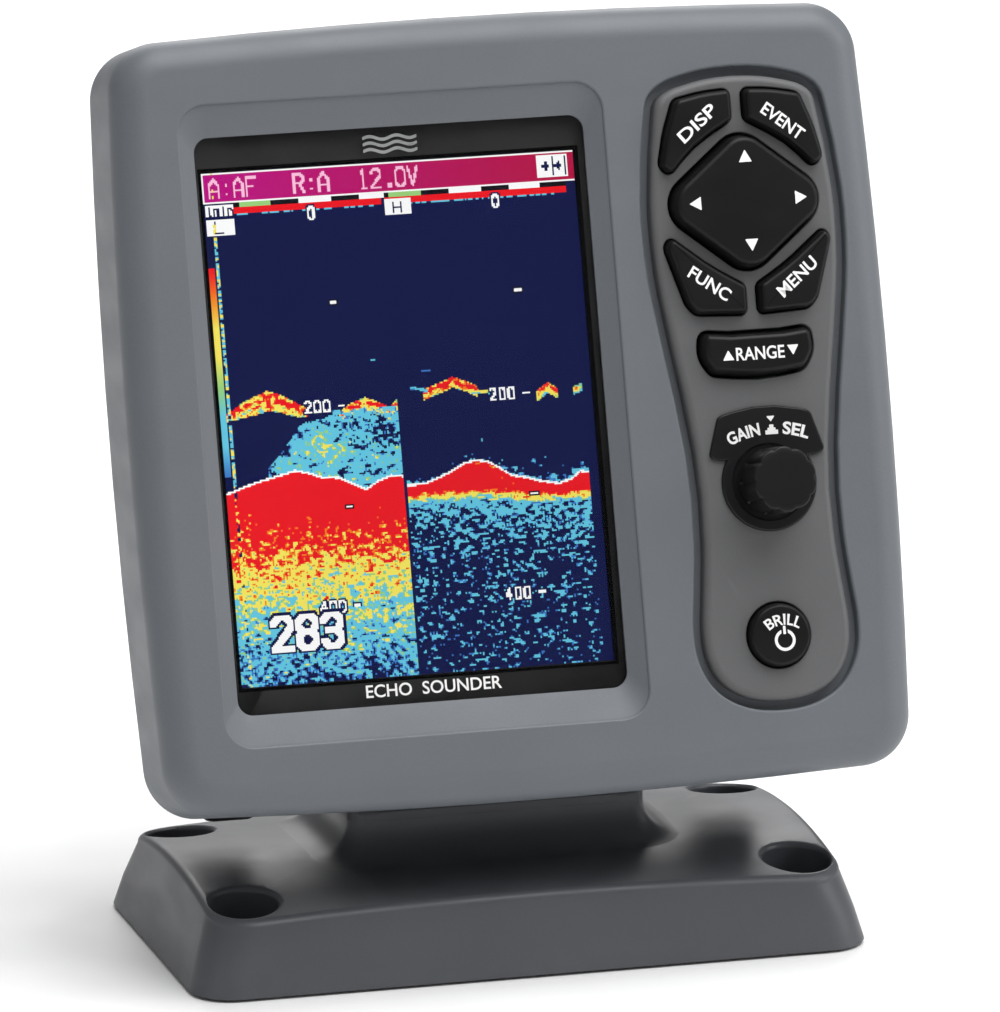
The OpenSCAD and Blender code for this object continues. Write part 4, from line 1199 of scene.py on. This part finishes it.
def build_mount():
    def plan(z, inset=0):
        return divided(box_outline(159 - 0.533 * z - 2 * inset, 88.2 - 0.434 * z - 2 * inset,
                                   max(10 - inset, 0.1)))
    foot, top = plan(0.6), plan(20)
    rings = [ring(foot, 0.3, 0.6), ring(foot, 0, 0.9), ring(plan(8), 0, 8)]
    rings += [draped(top, inset, z) for inset, z in over_edge(2.2, 0, -0.4, 6)]
    rings += [draped(plan(20, inset), 0, 0) for inset in (4, 7, 10, 13, 16, 20, 24, 28, 33)]
    body = loft("mount_moulding", rings)
    pad_seat = moulding("pad_seat", box_outline(151, 78, 6.5), [(0, 0), (0, 2.2)])
    combine(body, [pad_seat])
    well = round_outline(WELL_RADIUS, 64)
    mouth = ((0, -1.3), (-0.17, -0.65), (-0.65, -0.17), (-1.3, 0.03), (-1.3, 3))
    for x, y in WELLS:
        levels = [ring(well, 0.5, 6, x, y), ring(well, 0, 6.5, x, y)]
        levels += [draped(well, inset, z, x, y) for inset, z in mouth]
        hole = moulding("hole", round_outline(2.6, 40), [(0, 1)] + flare(0.5, 6, 3), x, y)
        combine(body, [loft("well", levels), hole])
    return shade(body, 35)

def build_pedestal():
    plan = box_outline(70, 36, 3.5)
    rings = [draped(divided(plan), -8.5, -0.6, 0, 8)]
    rings += [draped(divided(plan), -8.5 * (1 - math.sin(a)), 8.5 * (1 - math.cos(a)) - 0.02, 0, 8)
              for a in [math.pi / 2 * k / 8 for k in range(9)]]
    rings += [ring(divided(plan), inset, z, 0, 8) for inset, z in over_edge(0.8, 30, 0, 4)]
    lip = moulding("lip", box_outline(68, 3.6, 1.6), [(0, 28)] + over_edge(0.8, 32, 0, 4), 0, -8.1)
    return joined("pedestal", [loft("pedestal", rings), lip])

def along_x(piece, y=0, z=0):
    """Turns a piece modelled upwards so that it lies along x."""
    for corner in piece.data.vertices:
        corner.co = Vector((corner.co.z, corner.co.x, corner.co.y)) + Vector((0, y * MM, z * MM))
    return piece

def build_ear(x):
    py, pz = PIVOT
    head = [(py + 10 * math.cos(a), pz + 10 * math.sin(a), AS_LARGE_AS_FITS)
            for a in np.radians(np.arange(0, 181, 15))]
    side = outline([(-10, 28.5, 0), (26, 28.5, 0), (26, 32, 3), (16.5, 36.5, 6), *head, (-2, 38, 6),
                    (-10, 32, 3)], 10)
    near = [(0.8, -3.75), (0.25, -3.5), (0, -2.9)]
    levels = [(inset, x + z) for inset, z in near] + [(inset, x - z) for inset, z in near[::-1]]
    ear = along_x(moulding("ear", side, levels))
    outward(ear)
    bore = along_x(moulding("bore", round_outline(6, 48), [(0, x - 6), (0, x + 6)], *PIVOT))
    outward(bore)
    plan = moulding("plan", box_outline(70.02, 36.02, 3.5), [(0, 20), (0, 60)], 0, 8)
    return combine(combine(ear, [bore]), [plan], "INTERSECT")

mount_parts = [build_mount(), build_pedestal(), build_ear(-31.25), build_ear(31.25)]
for part in mount_parts[1:]:
    shade(part, 35)
mount_moulding = joined("mount_moulding", mount_parts)
finish_piece(mount_moulding, "stand", "base_plastic", "mount_base", "mount_end_left", "mount_end_right")

# %% [markdown]
# ## Tilt knobs
# Each side knob clamps the display between the ears. It is a hard plastic head with nine rounded grips,
# a boss that reaches the ear and a plain cap in the middle.

# %% Tilt knobs
def build_tilt_knob(side):
    levels = [(7.2, 0, 36.3), (7.5, 0, 36.6), (7.5, 0, 52.0), (8.2, 0, 52.6), (12.4, 1.2, 53.0),
              (13.9, 2.0, 53.8), (14.4, 2.4, 55.2), (14.4, 2.4, 63.2), (14.1, 2.3, 64.7),
              (13.3, 1.9, 65.6), (11.8, 1.2, 66.0), (9.0, 0, 66.0), (8.6, 0, 65.6), (4.0, 0, 65.5)]
    knob = along_x(turned(f"tilt_knob_{side}_head", levels, count=9, points=144), *PIVOT)
    bore_span = (30, 60)
    if side == "left":
        bore_span = (-60, -30)
        for corner in knob.data.vertices:
            corner.co.x *= -1
    bore = along_x(moulding("bore", round_outline(3.0, 40), [(0, x) for x in bore_span], *PIVOT))
    outward(knob)
    outward(bore)
    return shade(combine(knob, [bore]), 38)

for side in ("left", "right"):
    finish_piece(build_tilt_knob(side), f"tilt_knob_{side}", "knob_plastic", f"tilt_knob_{side}")

# %% [markdown]
# ## The back of the case
# The back cover is a deep tray with drafted sides, screwed to the front moulding through a flange. Its
# lower edge steps in to clear the tilt bracket, and a flat panel is left for a plain label.

# %% Back cover
def build_back_cover():
    edge = [(3 + inset, -28 + 0.6 * (1 - math.sin(a)))
            for a, inset in ((0, 0), (0.8, 0.18), (1.57, 0.6))]
    flange = moulding("back_cover", case_shape, [(3.4, -25), (3.0, -25.4)] + edge)
    def level(z, inset=0):
        taper = 7 * (-28 - z) / 30
        return ring(box_outline(156 - 2 * taper, 156 - 2 * taper, 12), inset, z)
    rounding = [level(-54.4 - 3.6 * math.sin(a), 3.6 * (1 - math.cos(a)))
                for a in np.radians((20, 40, 60, 75, 90))]
    body = loft("tray", [level(-26.5), level(-29), level(-54.4), *rounding])
    step = moulding("step", box_outline(220, 60, 3), [(-3.0, -62), (-0.4, -44), (0, -40.6), (0.6, -40)],
                    0, -85)
    combine(body, [step])
    combine(flange, [body], "UNION")
    inside = loft("inside", [level(-24, 2.6), level(-29, 2.6), level(-55.2, 2.6)])
    step_inside = moulding("step_inside", box_outline(220, 60, 3), [(0, -62), (0, -37.4)], 0, -82.4)
    combine(inside, [step_inside])
    panel = moulding("panel", box_outline(96, 40, 3), [(0.3, -57.5), (0, -57.7), (-0.3, -59)], 0, 24)
    combine(flange, [inside, panel])
    return shade(to_display(flange))

finish_piece(build_back_cover(), "display", "case_plastic", "rear_cover")
label = moulding("blank_label", box_outline(92, 36, 2), [(0, -57.48), (0, -57.62), (0.1, -57.66)], 0,
                 24)
finish_piece(shade(to_display(label)), "display", "connector_metal", material=silver_print)

def build_label_rules():
    """Plain rules and empty boxes on the label, with no words."""
    rules = [moulding("rule", box_outline(84, 0.5, 0), [(0, -57.68), (0, -57.72)], 0, y)
             for y in (36, 24, 12)]
    rules += [moulding("rule", box_outline(0.5, 24, 0), [(0, -57.68), (0, -57.72)], x, 24)
              for x in (-42, -10, 42)]
    return joined("label_rules", rules)

finish_piece(to_display(build_label_rules()), "display", "chip_plastic", material=print_black)

# %% [markdown]
# ## Screws and connectors
# A pan head screw is a low dome with a cross recess. One is modelled, then copied to every place. The
# connectors are turned: a flange, a threaded shell and a deep socket in one closed profile.

# %% Pan head screws
def build_screw_heads(name, places, radius, height, base):
    dome = [(0.1, 0), (0, 0.1), (0, 0.55 * height), (0.12 * radius, 0.8 * height),
            (0.32 * radius, 0.94 * height), (0.62 * radius, height)]
    head = moulding(name, round_outline(radius, 40), [(inset, base - z) for inset, z in dome])
    slots = [moulding("slot", box_outline(*size, 0.1),
                      [(0.05, base - 0.35 * height), (0, base - height - 0.5)])
             for size in ((radius * 1.15, radius * 0.26), (radius * 0.26, radius * 1.15))]
    combine(head, slots)
    shade(head)
    heads = []
    for k, (x, y) in enumerate(places):
        pick(head)
        bpy.ops.object.duplicate()
        copy = bpy.context.object
        copy.rotation_euler.z = 0.7 * k
        copy.location = (x * MM, y * MM, 0)
        heads.append(copy)
    pick(head)
    bpy.ops.object.delete()
    settle(*heads)
    return joined(name, heads)

right_places = ((82, 58), (82, 0), (82, -58), (50, 81.5), (50, -81.5))
cover_places = [(side * x, y) for side in (-1, 1) for x, y in right_places]
bracket_places = [(x, -66) for x in (-42, -33, 33, 42)]
for name, places, base in (("cover_screw", cover_places, -28), ("bracket_screw", bracket_places, -43)):
    heads = build_screw_heads(name + "_heads", places, 2.8, 2.0, base)
    finish_piece(to_display(heads), "display", "steel", name + "s")

# %% Connectors
CONNECTOR_Y = -34

def build_connector(name, x):
    levels = [(10.1, -58.0), (10.4, -58.3), (10.4, -59.7), (10.1, -60.0), (8.4, -60.0), (8.1, -60.3)]
    for k in range(8):
        levels += [(8.2, -60.9 - k), (8.2, -61.2 - k), (7.8, -61.45 - k), (7.8, -61.65 - k)]
    levels += [(8.15, -69.5), (7.9, -70.0), (7.1, -70.0), (6.8, -69.7), (6.8, -61.1), (6.6, -61.0)]
    shell = loft(name, [ring(round_outline(r, 64), 0, z, x, CONNECTOR_Y) for r, z in levels])
    return shade(to_display(shell), 30)

for name, x in (("power", -46), ("sounder", 0), ("data", 46)):
    finish_piece(build_connector(name + "_connector_shell", x), "display", "connector_metal",
                 name + "_connector")
    insert = moulding(name + "_insert", round_outline(6.7, 48), [(0, -61.0), (0, -61.5), (0.3, -61.8)],
                      x, CONNECTOR_Y)
    key = moulding("key", box_outline(1.8, 1.6, 0.3), [(0, -61), (0, -69)], x, CONNECTOR_Y + 6.1)
    finish_piece(shade(to_display(joined(name + "_insert", [insert, key]))), "display", "chip_plastic")

# %% [markdown]
# ## Softened copies
# A few CAD pieces are already the right shape and only look too sharp. A copy is merged, its flat faces
# are dissolved into one face each, and a narrow bevel is put on the remaining edges.

# %% Softened pieces
def softened(node_name, body, width, angle=40):
    pick(frame["nodes"][node_name])
    bpy.ops.object.duplicate()
    piece = bpy.context.object
    piece.name = piece.data.name = node_name + "_soft"
    outward(piece)
    bpy.ops.object.mode_set(mode="EDIT")
    bpy.ops.mesh.select_all(action="SELECT")
    bpy.ops.mesh.dissolve_limited(angle_limit=math.radians(2))
    bpy.ops.object.mode_set(mode="OBJECT")
    bpy.ops.object.modifier_add(type="BEVEL")
    bevel = piece.modifiers[-1]
    bevel.width, bevel.segments, bevel.limit_method, bevel.angle_limit = width * MM, 3, "ANGLE", math.radians(angle)
    bpy.ops.object.modifier_apply(modifier=bevel.name)
    settle(piece)
    return finish_piece(shade(piece), body, slot_of[node_name], node_name)

softened("tilt_bracket", "display", 0.8)
softened("ground_terminal", "display", 0.25)
softened("base_pad", "stand", 0.5)

# %% [markdown]
# ## The floor
# A plain pale sheet, very slightly uneven in tone so that it does not look computed.

# %% Floor finish
def build_floor_finish():
    material, tree, shader = new_material("pale_floor")
    at = add(tree, "TexCoord").outputs["Object"]
    cloud = noise(tree, at, 3.0, 3.0)
    tone = blend(tree, cloud, (0.90, 0.90, 0.90, 1), (0.93, 0.93, 0.93, 1))
    tree.links.new(tone, shader.inputs["Base Color"])
    tree.links.new(spread(tree, noise(tree, at, 40.0), 0.3, 0.7, 0.55, 0.7), shader.inputs["Roughness"])
    return material

floor.data.materials.clear()
floor.data.materials.append(build_floor_finish())
